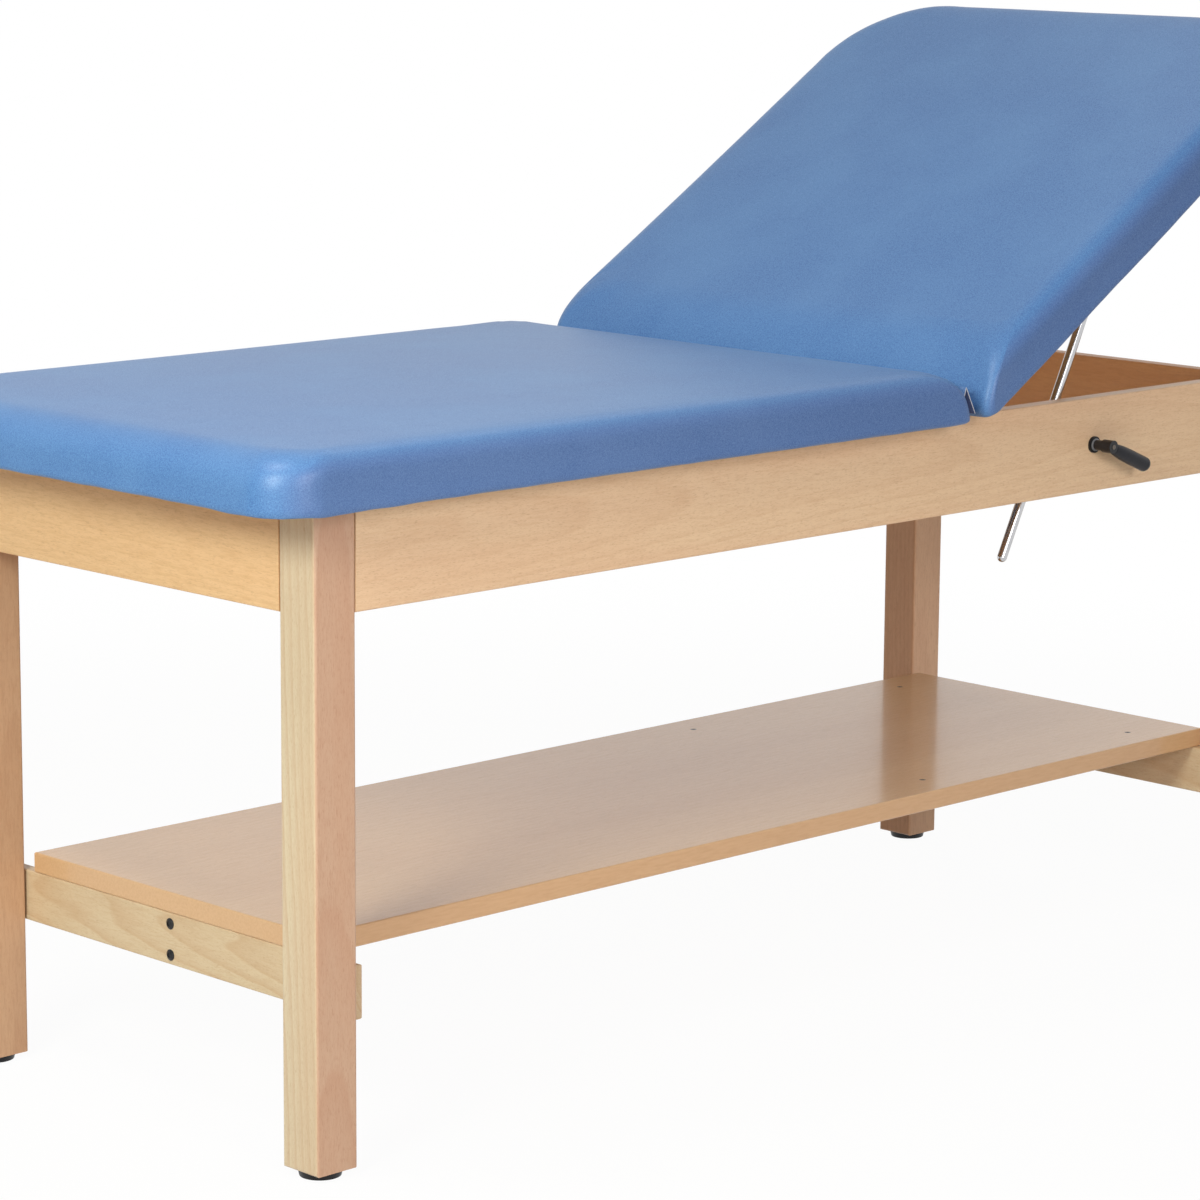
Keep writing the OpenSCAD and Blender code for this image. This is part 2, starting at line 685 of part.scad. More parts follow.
// Pad from x0 to x1: lower and upper radii at its two ends, plan radii and how they grow with height
module pad_body(x0, x1, low0, up0, low1, up1, r0, r1, grow0, grow1) {
    heights = concat([for (s = low_share) s * low_edge_r],
        [for (s = deep_share) low_edge_r + s * (pad_t - top_edge_r - low_edge_r)],
        [for (s = top_share) pad_t - top_edge_r + s * top_edge_r]);
    body = [for (h = heights)
        let (i0 = edge_in(h, low0, up0), i1 = edge_in(h, low1, up1),
            side = edge_in(h, low_edge_r, top_edge_r))
        [for (p = pad_ring(x0 + i0, x1 - i1, pad_half_w - side,
            corner_r(r0, h, up0, grow0), corner_r(r1, h, up1, grow1),
            pad_draw * h / pad_t)) [p.x, p.y, h]]];
    flat_w = pad_half_w - top_edge_r;
    crown = [for (s = crown_share)
        let (e = s * flat_w, hw = flat_w - e,
            c0 = min(corner_r(r0, pad_t, up0, grow0), hw * crown_corner_share),
            c1 = min(corner_r(r1, pad_t, up1, grow1), hw * crown_corner_share))
        [for (p = pad_ring(x0 + up0 + e, x1 - up1 - e, hw, c0, c1, pad_draw * (1 - s)))
            [p.x, p.y, pad_t + pad_crown * (1 - (1 - s) * (1 - s))]]];
    rings = concat(body, crown);
    n = len(rings[0]);
    m = len(rings);
    middle = (x0 + x1) / 2;
    pts = concat([for (ring = rings) each ring],
        [[middle, 0, 0], [middle, 0, pad_t + pad_crown]]);
    walls = [for (k = [0:m - 2], i = [0:n - 1]) let (j = (i + 1) % n)
        each [[k * n + i, (k + 1) * n + j, k * n + j], [k * n + i, (k + 1) * n + i, (k + 1) * n + j]]];
    caps = [for (i = [0:n - 1]) let (j = (i + 1) % n)
        each [[i, j, n * m], [(m - 1) * n + j, (m - 1) * n + i, n * m + 1]]];
    polyhedron(pts, concat(walls, caps));
}

// Board with rounded plan corners, from x0 to x1
module pad_board(x0, x1, hw, r0, r1, t) {
    linear_extrude(t) {
        translate([x0 + r0, -hw]) square([x1 - x0 - r0 - r1, 2 * hw]);
        translate([x0, -hw + r0]) square([r0 + over, 2 * (hw - r0)]);
        translate([x1 - r1 - over, -hw + r1]) square([r1 + over, 2 * (hw - r1)]);
        for (y = [-hw + r0, hw - r0]) translate([x0 + r0, y]) circle(r0);
        for (y = [-hw + r1, hw - r1]) translate([x1 - r1, y]) circle(r1);
    }
}

board_half_w = pad_half_w - pad_wrap;

module foot_board_body(t) {
    pad_board(foot_pad_x0 + pad_wrap, foot_board_x1, board_half_w,
        foot_corner_r - pad_wrap, gap_corner_r / 2, t);
}

module foot_board() {
    color("#c7a778") difference() {
        translate([0, 0, rail_top]) foot_board_body(board_t);
        for (x = [hinge_bar_screw_x, middle_bar_screw_x], s = board_screw_y_share)
            translate([x, s * rail_in_y, rail_top - over])
                cylinder(board_screw_in + over, d = board_screw_d + 2 * fix_fit);
    }
}

module foot_board_screws() {
    color("#b9bcc0") for (x = [hinge_bar_screw_x, middle_bar_screw_x], s = board_screw_y_share)
        translate([x, s * rail_in_y, rail_top - bar_h]) rotate([180, 0, 0])
            screw(board_screw_d, bar_h + board_screw_in, board_screw_head_d, board_screw_head_t);
}

module foot_cushion() {
    color("#6f93c0") translate([0, 0, rail_top]) difference() {
        pad_body(foot_pad_x0, foot_pad_x1, low_edge_r, top_edge_r, low_edge_r + move_gap, gap_top_r,
            foot_corner_r, gap_corner_r, open_grow_share, gap_grow_share);
        translate([0, 0, -over]) foot_board_body(board_t + over);
    }
}

// The backrest and what it carries, in its own frame: u along the board, v square to it
module on_back(angle = back_angle) {
    translate([hinge_x, 0, hinge_z]) rotate([0, -angle, 0]) children();
}

// Distance from the end of the backrest's lower curve to its board
back_board_gap = 17.6;
back_board_u0 = edge_in(0, back_low_r, back_top_r) - back_tail + back_board_gap;
back_board_u1 = back_l - pad_wrap;
back_screw_u = 48;

module back_board_body(t) {
    pad_board(back_board_u0, back_board_u1, board_half_w, gap_corner_r / 2, head_corner_r - pad_wrap, t);
}

bracket_w = 56;
bracket_t = 2.5;
bracket_gap = 0.5;
bracket_side = 22;
bracket_screw_u = 20;
bracket_screw_y = 15;
back_screw_in = 12;

module back_board() {
    color("#c7a778") on_back() difference() {
        translate([0, 0, back_v0]) back_board_body(board_t);
        for (y = hinge_ys, s = leaf_screw_share)
            translate([back_screw_u, y + s * hinge_l, back_v0 - over])
                cylinder(back_screw_in + over, d = wood_screw_d + 2 * fix_fit);
        for (u = [-bracket_screw_u, bracket_screw_u], y = [-bracket_screw_y, bracket_screw_y])
            translate([pivot_u + u, rod_y + y, back_v0 - over])
                cylinder(back_screw_in + over, d = wood_screw_d + 2 * fix_fit);
    }
}

module back_cushion() {
    color("#7ba6d0") on_back() translate([0, 0, back_v0]) difference() {
        pad_body(-back_tail, back_l, back_low_r, back_top_r, low_edge_r, top_edge_r,
            gap_corner_r, head_corner_r, gap_grow_share, open_grow_share);
        translate([0, 0, -over]) back_board_body(board_t + over);
    }
}

// Vinyl strip over the gap, an upside-down V between the two pads
flap_t = 1.4;
flap_side = 20;
flap_foot_h = 20;
flap_nose_h = 12;
flap_ridge_x = 4;
flap_ridge_z = 40;
function back_pt(u, v) = [hinge_x + u * cos(back_angle) - v * sin(back_angle),
    hinge_z + u * sin(back_angle) + v * cos(back_angle)];
function unit(v) = v / norm(v);
function left_of(v) = [-v.y, v.x];

module gap_flap() {
    foot_in = edge_in(flap_foot_h, low_edge_r + move_gap, gap_top_r);
    nose_in = edge_in(flap_nose_h, back_low_r, back_top_r);
    foot_end = [foot_pad_x1 - foot_in + move_gap + flap_t / 2, rail_top + flap_foot_h];
    ridge = [foot_pad_x1 + flap_ridge_x, rail_top + flap_ridge_z];
    back_end = back_pt(nose_in - back_tail - move_gap, back_v0 + flap_nose_h);
    rise = left_of(unit(ridge - foot_end));
    fall = left_of(unit(back_end - ridge));
    ridge_in = ridge - flap_t * (rise + fall) / (1 + rise * fall);
    color("#6d8fba") translate([0, pad_half_w - flap_side, 0]) rotate([90, 0, 0])
        linear_extrude(2 * (pad_half_w - flap_side))
            polygon([foot_end, foot_end - flap_t * rise, ridge_in, back_end - flap_t * fall, back_end, ridge]);
}

// Hinges: five knuckles each, three on the frame leaf and two on the back leaf

knuckle_n = 5;
knuckle_gap = 0.3;
knuckle_l = hinge_l / knuckle_n;
back_leaf_u1 = 60;

module knuckle(i) {
    translate([0, -hinge_l / 2 + i * knuckle_l + knuckle_gap / 2, 0])
        rod_y(knuckle_l - knuckle_gap, knuckle_d);
}

module hinge_bore() {
    translate([0, -hinge_l / 2 - over, 0]) rod_y(hinge_l + 2 * over, hinge_pin_d + 2 * run_fit);
}

module hinge_leaf_frame(y) {
    face = -knuckle_d / 2 - move_gap - leaf_t;
    color("#b9bcc0") translate([hinge_x, y, hinge_z]) difference() {
        union() {
            translate([face, -hinge_l / 2, -leaf_h]) cube([leaf_t, hinge_l, leaf_h]);
            for (i = [0, 2, 4]) {
                knuckle(i);
                translate([face, -hinge_l / 2 + i * knuckle_l + knuckle_gap / 2, -knuckle_d / 2])
                    cube([-face, knuckle_l - knuckle_gap, (knuckle_d - hinge_pin_d) / 2]);
            }
        }
        hinge_bore();
        for (s = leaf_screw_share)
            translate([face - over, s * hinge_l, -leaf_screw_drop])
                rod_x(leaf_t + 2 * over, wood_screw_d + 2 * fix_fit);
    }
}

module hinge_leaf_back(y) {
    plate_u0 = knuckle_d / 2 + move_gap;
    plate_v0 = back_v0 - leaf_t;
    color("#b9bcc0") on_back() translate([0, y, 0]) difference() {
        union() {
            translate([plate_u0, -hinge_l / 2, plate_v0]) cube([back_leaf_u1 - plate_u0, hinge_l, leaf_t]);
            for (i = [1, 3]) {
                knuckle(i);
                translate([0, -hinge_l / 2 + i * knuckle_l + knuckle_gap / 2, hinge_pin_d / 2])
                    cube([plate_u0 + over, knuckle_l - knuckle_gap, back_v0 - hinge_pin_d / 2]);
            }
        }
        hinge_bore();
        for (s = leaf_screw_share)
            translate([back_screw_u, s * hinge_l, plate_v0 - over])
                cylinder(leaf_t + 2 * over, d = wood_screw_d + 2 * fix_fit);
    }
}

module hinge_leaf_frame_near() { hinge_leaf_frame(hinge_ys[0]); }
module hinge_leaf_frame_far() { hinge_leaf_frame(hinge_ys[1]); }
module hinge_leaf_back_near() { hinge_leaf_back(hinge_ys[0]); }
module hinge_leaf_back_far() { hinge_leaf_back(hinge_ys[1]); }

module hinge_pins() {
    color("#cfd2d6") for (y = hinge_ys)
        translate([hinge_x, y - hinge_l / 2, hinge_z]) rod_y(hinge_l, hinge_pin_d);
}

module hinge_screws_frame() {
    color("#b9bcc0") for (y = hinge_ys, s = leaf_screw_share)
        translate([hinge_bar_x1 + leaf_t, y + s * hinge_l, hinge_z - leaf_screw_drop]) rotate([0, 90, 0])
            screw(wood_screw_d, leaf_screw_l, wood_screw_head_d, wood_screw_head_t);
}

module hinge_screws_back() {
    color("#b9bcc0") on_back() for (y = hinge_ys, s = leaf_screw_share)
        translate([back_screw_u, y + s * hinge_l, back_v0 - leaf_t]) rotate([180, 0, 0])
            screw(wood_screw_d, leaf_t + back_screw_in, wood_screw_head_d, wood_screw_head_t);
}

// Bracket, pin and rod

bracket_in = rod_d / 2 + bracket_gap;
pin_head_d = 9;
pin_head_t = 1.5;

module bracket_ear() {
    rotate([90, 0, 0]) linear_extrude(bracket_t) {
        circle(rod_eye_d / 2);
        translate([-rod_eye_d / 2, 0]) square([rod_eye_d, pivot_drop + back_v0]);
    }
}

module rod_bracket() {
    plate_w = 2 * (bracket_side + bracket_gap);
    color("#c9ccd0") on_back() difference() {
        union() {
            translate([pivot_u - bracket_w / 2, rod_y - plate_w / 2, back_v0 - bracket_t])
                cube([bracket_w, plate_w, bracket_t]);
            for (y = [-bracket_in, bracket_in + bracket_t])
                translate([pivot_u, rod_y + y, -pivot_drop]) bracket_ear();
        }
        translate([pivot_u, rod_y - bracket_w / 2, -pivot_drop]) rod_y(bracket_w, rod_pin_d + 2 * fix_fit);
        for (u = [-bracket_screw_u, bracket_screw_u], y = [-bracket_screw_y, bracket_screw_y])
            translate([pivot_u + u, rod_y + y, back_v0 - bracket_t - over])
                cylinder(bracket_t + 2 * over, d = wood_screw_d + 2 * fix_fit);
    }
}

module rod_bracket_screws() {
    color("#b9bcc0") on_back()
        for (u = [-bracket_screw_u, bracket_screw_u], y = [-bracket_screw_y, bracket_screw_y])
            translate([pivot_u + u, rod_y + y, back_v0 - bracket_t]) rotate([180, 0, 0])
                screw(wood_screw_d, bracket_t + back_screw_in, wood_screw_head_d, wood_screw_head_t);
}

module rod_pin() {
    half_pin = bracket_in + bracket_t;
    color("#cfd2d6") on_back() translate([pivot_u, rod_y, -pivot_drop]) {
        translate([0, -half_pin, 0]) rod_y(2 * half_pin, rod_pin_d);
        translate([0, half_pin, 0]) rod_y(pin_head_t, pin_head_d);
        translate([0, -half_pin - pin_head_t, 0]) rod_y(pin_head_t, pin_head_d);
    }
}

module prop_rod() {
    color("#d7d9dc") translate([rod_pivot.x, rod_y, rod_pivot.y]) rotate([0, -rod_angle, 0]) difference() {
        union() {
            translate([-rod_l + rod_d / 2, 0, 0]) rod_x(rod_l - rod_d / 2, rod_d);
            translate([-rod_l + rod_d / 2, 0, 0]) sphere(rod_d / 2);
            translate([0, -rod_d / 2, 0]) rod_y(rod_d, rod_eye_d);
        }
        translate([0, -rod_d / 2 - over, 0]) rod_y(rod_d + 2 * over, rod_pin_d + 2 * run_fit);
    }
}

// Clamp, from the rail's inner face to the rod and beyond; depths along Y

guide_web_y = rod_y + rod_d / 2 + move_gap;
press_y1 = rod_y - rod_d / 2 - move_gap;
press_y0 = press_y1 - press_t;
ring_t = 1.4;
ring_side = 4;
tip_d = 8;
tip_in = 2.8;
tip_gap = 0.6;
// Room behind the pad for its travel and the spindle's shoulder
shoulder_gap = 1;
neck_gap = 2;
neck_y1 = press_y0 - shoulder_gap - neck_gap;
ring_y1 = neck_y1 - move_gap;
guide_y1 = ring_y1 - ring_t - move_gap;
guide_y0 = guide_y1 - guide_wall;
collar_y1 = guide_y0 - move_gap;

// Angle of the rod above the horizontal, at which it passes the clamp's axis at rod_side
rod_pivot = back_pt(pivot_u, -pivot_drop);
pivot_from_clamp = rod_pivot - [clamp_x, clamp_z];
rod_angle = atan2(pivot_from_clamp.y, pivot_from_clamp.x) - asin(rod_side / norm(pivot_from_clamp));

module at_clamp() { translate([clamp_x, 0, clamp_z]) children(); }

module clamp_bearing() {
    color("#8f9397") at_clamp() difference() {
        union() {
            translate([0, -half_w, 0]) rod_y(neck_y1 + half_w, bearing_tube_d);
            translate([-bearing_w / 2, -rail_in_y, -bearing_w / 2]) cube([bearing_w, bearing_t, bearing_w]);
            translate([0, -rail_in_y, 0]) rod_y(collar_y1 + rail_in_y, collar_d);
            translate([0, -rail_in_y, 0]) rod_y(neck_y1 + rail_in_y, neck_d);
        }
        translate([0, -half_w - over, 0]) rod_y(rod_inset, spindle_d + 2 * run_fit);
        for (x = [-bearing_screw_at, bearing_screw_at], z = [-bearing_screw_at, bearing_screw_at])
            translate([x, -rail_in_y - over, z]) rod_y(bearing_t + 2 * over, wood_screw_d + 2 * fix_fit);
    }
}

module clamp_bearing_screws() {
    color("#b9bcc0") at_clamp()
        for (x = [-bearing_screw_at, bearing_screw_at], z = [-bearing_screw_at, bearing_screw_at])
            translate([x, -rail_in_y + bearing_t, z]) rotate([-90, 0, 0])
                screw(wood_screw_d, bearing_screw_l, wood_screw_head_d, wood_screw_head_t);
}

module guide_ring() {
    color("#5a5c60") at_clamp() translate([0, ring_y1 - ring_t, 0]) difference() {
        rod_y(ring_t, neck_d + 2 * ring_side);
        translate([0, -over, 0]) rod_y(ring_t + 2 * over, neck_d + 2 * fix_fit);
    }
}

// Box-shaped guide, open along the rod, that swivels on the bearing's neck
module rod_guide() {
    height = guide_web_y + guide_wall - guide_y0;
    width = 2 * (guide_room + guide_wall);
    color("#a9adb1") at_clamp() rotate([0, -rod_angle, 0]) difference() {
        translate([-guide_l / 2, guide_y0, -width / 2]) cube([guide_l, height, width]);
        translate([-guide_l / 2 - over, guide_y1, -guide_room])
            cube([guide_l + 2 * over, guide_web_y - guide_y1, 2 * guide_room]);
        translate([0, guide_y0 - over, 0]) rod_y(guide_wall + 2 * over, neck_d + 2 * run_fit);
    }
}

lever_ring_t = 1.6;
lever_ring_d = 15;
lever_y = -half_w - flange_t - lever_out;
boss_rim = 0.5;
boss_l = grip_root_d + 2 * boss_rim;
boss_y0 = lever_y - boss_l / 2;
spindle_y0 = lever_y;
lever_screw_d = 4;
lever_screw_in = 10;
lever_screw_head_d = 5.5;
lever_screw_head_t = 1.2;

module clamp_spindle() {
    shoulder = press_y0 - shoulder_gap;
    color("#b9bcc0") at_clamp() difference() {
        union() {
            translate([0, spindle_y0, 0]) rod_y(shoulder - spindle_y0, spindle_d);
            translate([0, shoulder - over, 0]) rod_y(over + shoulder_gap + tip_in, tip_d);
        }
        translate([0, spindle_y0 - over, 0]) rod_y(lever_screw_in + over, lever_screw_d + 2 * fix_fit);
    }
}

module clamp_pad() {
    bore_in = tip_in + tip_gap;
    color("#3a3a3c") at_clamp() difference() {
        translate([0, press_y0, 0]) rod_y(press_t, pad_d);
        translate([0, press_y0 - over, 0]) rod_y(bore_in + over, tip_d + 2 * run_fit);
    }
}

module clamp_flange() {
    color("#17171a") at_clamp() translate([0, -half_w - flange_t, 0]) difference() {
        rod_y(flange_t, flange_d);
        translate([0, -over, 0]) rod_y(flange_t + 2 * over, spindle_d + 2 * run_fit);
    }
}

// Lever: grip axis leans out from the rail and points down past the horizontal
stub_d = 9;
stub_l = 20;

module along_grip() {
    at_clamp() translate([0, lever_y, 0]) rotate([0, grip_angle, 0]) rotate([0, 0, -grip_lean]) children();
}

module lever_hub() {
    neck_y = -half_w - flange_t - move_gap;
    color("#c4c7cb") difference() {
        union() {
            at_clamp() {
                translate([0, neck_y - lever_ring_t, 0]) rod_y(lever_ring_t, lever_ring_d);
                translate([0, boss_y0, 0]) rod_y(neck_y - boss_y0, lever_neck_d);
                translate([0, boss_y0, 0]) rod_y(boss_l, lever_boss_d);
            }
            along_grip() translate([lever_neck_d / 4, 0, 0]) rod_x(stub_l - lever_neck_d / 4, stub_d);
        }
        at_clamp() {
            translate([0, spindle_y0, 0]) rod_y(neck_y - spindle_y0 + over, spindle_d + 2 * fix_fit);
            translate([0, boss_y0 - over, 0]) rod_y(boss_l, lever_screw_d + 2 * fix_fit);
        }
    }
}

// Half profile of the grip: x is the radius and y the distance from the lever's axis
grip_arc_n = 6;
// Radius round the end of the grip
grip_edge_r = 6;
// How the grip swells, as shares of its length and of its growth in radius
grip_swell_share = [[0, 0], [0.05, 0.22], [0.12, 0.5], [0.21, 0.75], [0.32, 0.92], [0.46, 1]];

module lever_grip() {
    root = (lever_boss_d + grip_root_d * sin(grip_lean)) / 2 + move_gap;
    tip_r = grip_tip_d / 2;
    bore_r = stub_d / 2 + fix_fit;
    swell = [for (s = grip_swell_share)
        [grip_root_d / 2 + s.y * (tip_r - grip_root_d / 2), root + s.x * (grip_l - root)]];
    tip = [for (i = [0:grip_arc_n]) let (a = 90 * i / grip_arc_n)
        [tip_r - grip_edge_r + grip_edge_r * cos(a), grip_l - grip_edge_r + grip_edge_r * sin(a)]];
    color("#1b1b1f") along_grip() rotate([0, 90, 0]) rotate_extrude()
        polygon(concat([[bore_r, root]], swell, tip, [[0, grip_l], [0, stub_l], [bore_r, stub_l]]));
}

module lever_screw() {
    color("#cfd2d6") at_clamp() translate([0, boss_y0, 0]) rotate([90, 0, 0])
        screw(lever_screw_d, boss_l / 2 + lever_screw_in - over, lever_screw_head_d, lever_screw_head_t);
}

leg_foot_near();
leg_foot_far();
leg_head_near();
leg_head_far();
side_rail_near();
side_rail_far();
apron_foot();
apron_head();
hinge_bar();
middle_bar();
frame_dowels();
corner_blocks();
corner_bolts();
lower_rail_foot();
lower_rail_head();
lower_rail_spacers();
lower_rail_bolts();
stretcher();
stretcher_bolts();
barrel_nuts();
shelf();
shelf_battens();
shelf_screws();
glide_foot_near();
glide_foot_far();
glide_head_near();
glide_head_far();
glide_screws();
foot_board();
foot_cushion();
foot_board_screws();
back_board();
back_cushion();
gap_flap();
hinge_leaf_frame_near();
hinge_leaf_frame_far();
hinge_leaf_back_near();
hinge_leaf_back_far();
hinge_pins();
hinge_screws_frame();
hinge_screws_back();
rod_bracket();
rod_bracket_screws();
rod_pin();
prop_rod();
clamp_bearing();
clamp_bearing_screws();
guide_ring();
rod_guide();
clamp_spindle();
clamp_pad();
clamp_flange();
lever_hub();
lever_grip();
lever_screw();
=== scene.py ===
"""Treatment table: finishes, upholstery, fasteners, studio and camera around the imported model."""

from __future__ import annotations

import json
import logging
import math
import random
from dataclasses import dataclass, field, replace
from enum import Enum

import bmesh
import bpy
import numpy as np
from mathutils import Matrix, Vector

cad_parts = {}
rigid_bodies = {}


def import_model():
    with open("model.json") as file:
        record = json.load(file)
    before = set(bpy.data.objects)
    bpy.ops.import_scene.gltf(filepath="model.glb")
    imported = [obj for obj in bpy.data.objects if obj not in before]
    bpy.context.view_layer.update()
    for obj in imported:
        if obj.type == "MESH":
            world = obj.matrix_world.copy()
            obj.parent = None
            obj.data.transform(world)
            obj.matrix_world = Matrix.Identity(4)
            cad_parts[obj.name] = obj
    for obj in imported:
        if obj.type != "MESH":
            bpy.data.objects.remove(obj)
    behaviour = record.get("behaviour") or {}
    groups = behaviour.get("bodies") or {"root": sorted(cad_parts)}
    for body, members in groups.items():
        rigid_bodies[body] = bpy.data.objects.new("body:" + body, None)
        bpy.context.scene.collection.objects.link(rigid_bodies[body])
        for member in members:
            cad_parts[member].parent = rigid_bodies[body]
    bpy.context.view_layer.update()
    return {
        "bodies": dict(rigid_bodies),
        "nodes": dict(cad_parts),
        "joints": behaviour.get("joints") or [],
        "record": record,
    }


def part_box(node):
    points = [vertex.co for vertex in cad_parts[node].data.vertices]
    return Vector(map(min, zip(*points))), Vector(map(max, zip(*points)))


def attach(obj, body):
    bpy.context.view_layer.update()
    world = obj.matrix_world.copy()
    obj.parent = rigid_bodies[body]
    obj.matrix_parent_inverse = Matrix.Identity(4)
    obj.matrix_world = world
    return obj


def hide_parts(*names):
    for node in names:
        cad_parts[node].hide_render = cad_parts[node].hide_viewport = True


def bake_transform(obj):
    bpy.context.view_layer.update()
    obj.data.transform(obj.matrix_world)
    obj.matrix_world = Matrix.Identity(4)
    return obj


log = logging.getLogger("treatment_table")

Colour = tuple[float, float, float]
Point = tuple[float, float, float]
Faces = list[tuple[int, ...]]

WHITE: Colour = (1.0, 1.0, 1.0)
ALONG: Point = (1, 0, 0)
ACROSS: Point = (0, 1, 0)
UP: Point = (0, 0, 1)
DOWN: Point = (0, 0, -1)
NEARWARD: Point = (0, -1, 0)
FOOTWARD: Point = (-1, 0, 0)


def screen(red: int, green: int, blue: int) -> Colour:
    """Turns an 8-bit screen colour into the linear one that shaders use.

    Args:
        red: Red from 0 to 255.
        green: Green from 0 to 255.
        blue: Blue from 0 to 255.

    Returns:
        The linear colour.
    """
    parts = [c / 255 for c in (red, green, blue)]
    return tuple(c / 12.92 if c <= 0.04045 else ((c + 0.055) / 1.055) ** 2.4 for c in parts)


# Shader wrappers


class Sock:
    """A shader output whose operators add Math nodes."""

    def __init__(self, graph: Graph, socket: bpy.types.NodeSocket) -> None:
        """Wraps an output socket of a graph."""
        self.graph = graph
        self.socket = socket

    def _math(self, operation: str, first: Sock | float, second: Sock | float = 0.0) -> Sock:
        """Adds one Math node and returns its output."""
        return self.graph.add("ShaderNodeMath", {"operation": operation}, {0: first, 1: second})

    def __add__(self, other: Sock | float) -> Sock:
        """Sum."""
        return self._math("ADD", self, other)

    def __radd__(self, other: float) -> Sock:
        """Sum with a number on the left."""
        return self._math("ADD", other, self)

    def __sub__(self, other: Sock | float) -> Sock:
        """Difference."""
        return self._math("SUBTRACT", self, other)

    def __rsub__(self, other: float) -> Sock:
        """Difference with a number on the left."""
        return self._math("SUBTRACT", other, self)

    def __mul__(self, other: Sock | float) -> Sock:
        """Product."""
        return self._math("MULTIPLY", self, other)

    def __rmul__(self, other: float) -> Sock:
        """Product with a number on the left."""
        return self._math("MULTIPLY", other, self)

    def __truediv__(self, other: Sock | float) -> Sock:
        """Quotient."""
        return self._math("DIVIDE", self, other)

    def __pow__(self, other: float) -> Sock:
        """Power."""
        return self._math("POWER", self, other)

    def __abs__(self) -> Sock:
        """Absolute value."""
        return self._math("ABSOLUTE", self)

    def fract(self) -> Sock:
        """Part after the decimal point."""
        return self._math("FRACT", self)

    def larger(self, other: Sock | float) -> Sock:
        """Larger of two values."""
        return self._math("MAXIMUM", self, other)

    def smooth(self, low: float, high: float) -> Sock:
        """Rises smoothly from 0 at low to 1 at high.

        Args:
            low: Value that gives 0.
            high: Value that gives 1.

        Returns:
            The smoothed value.
        """
        settings = {"interpolation_type": "SMOOTHSTEP"}
        return self.graph.add("ShaderNodeMapRange", settings, {0: self, 1: low, 2: high})


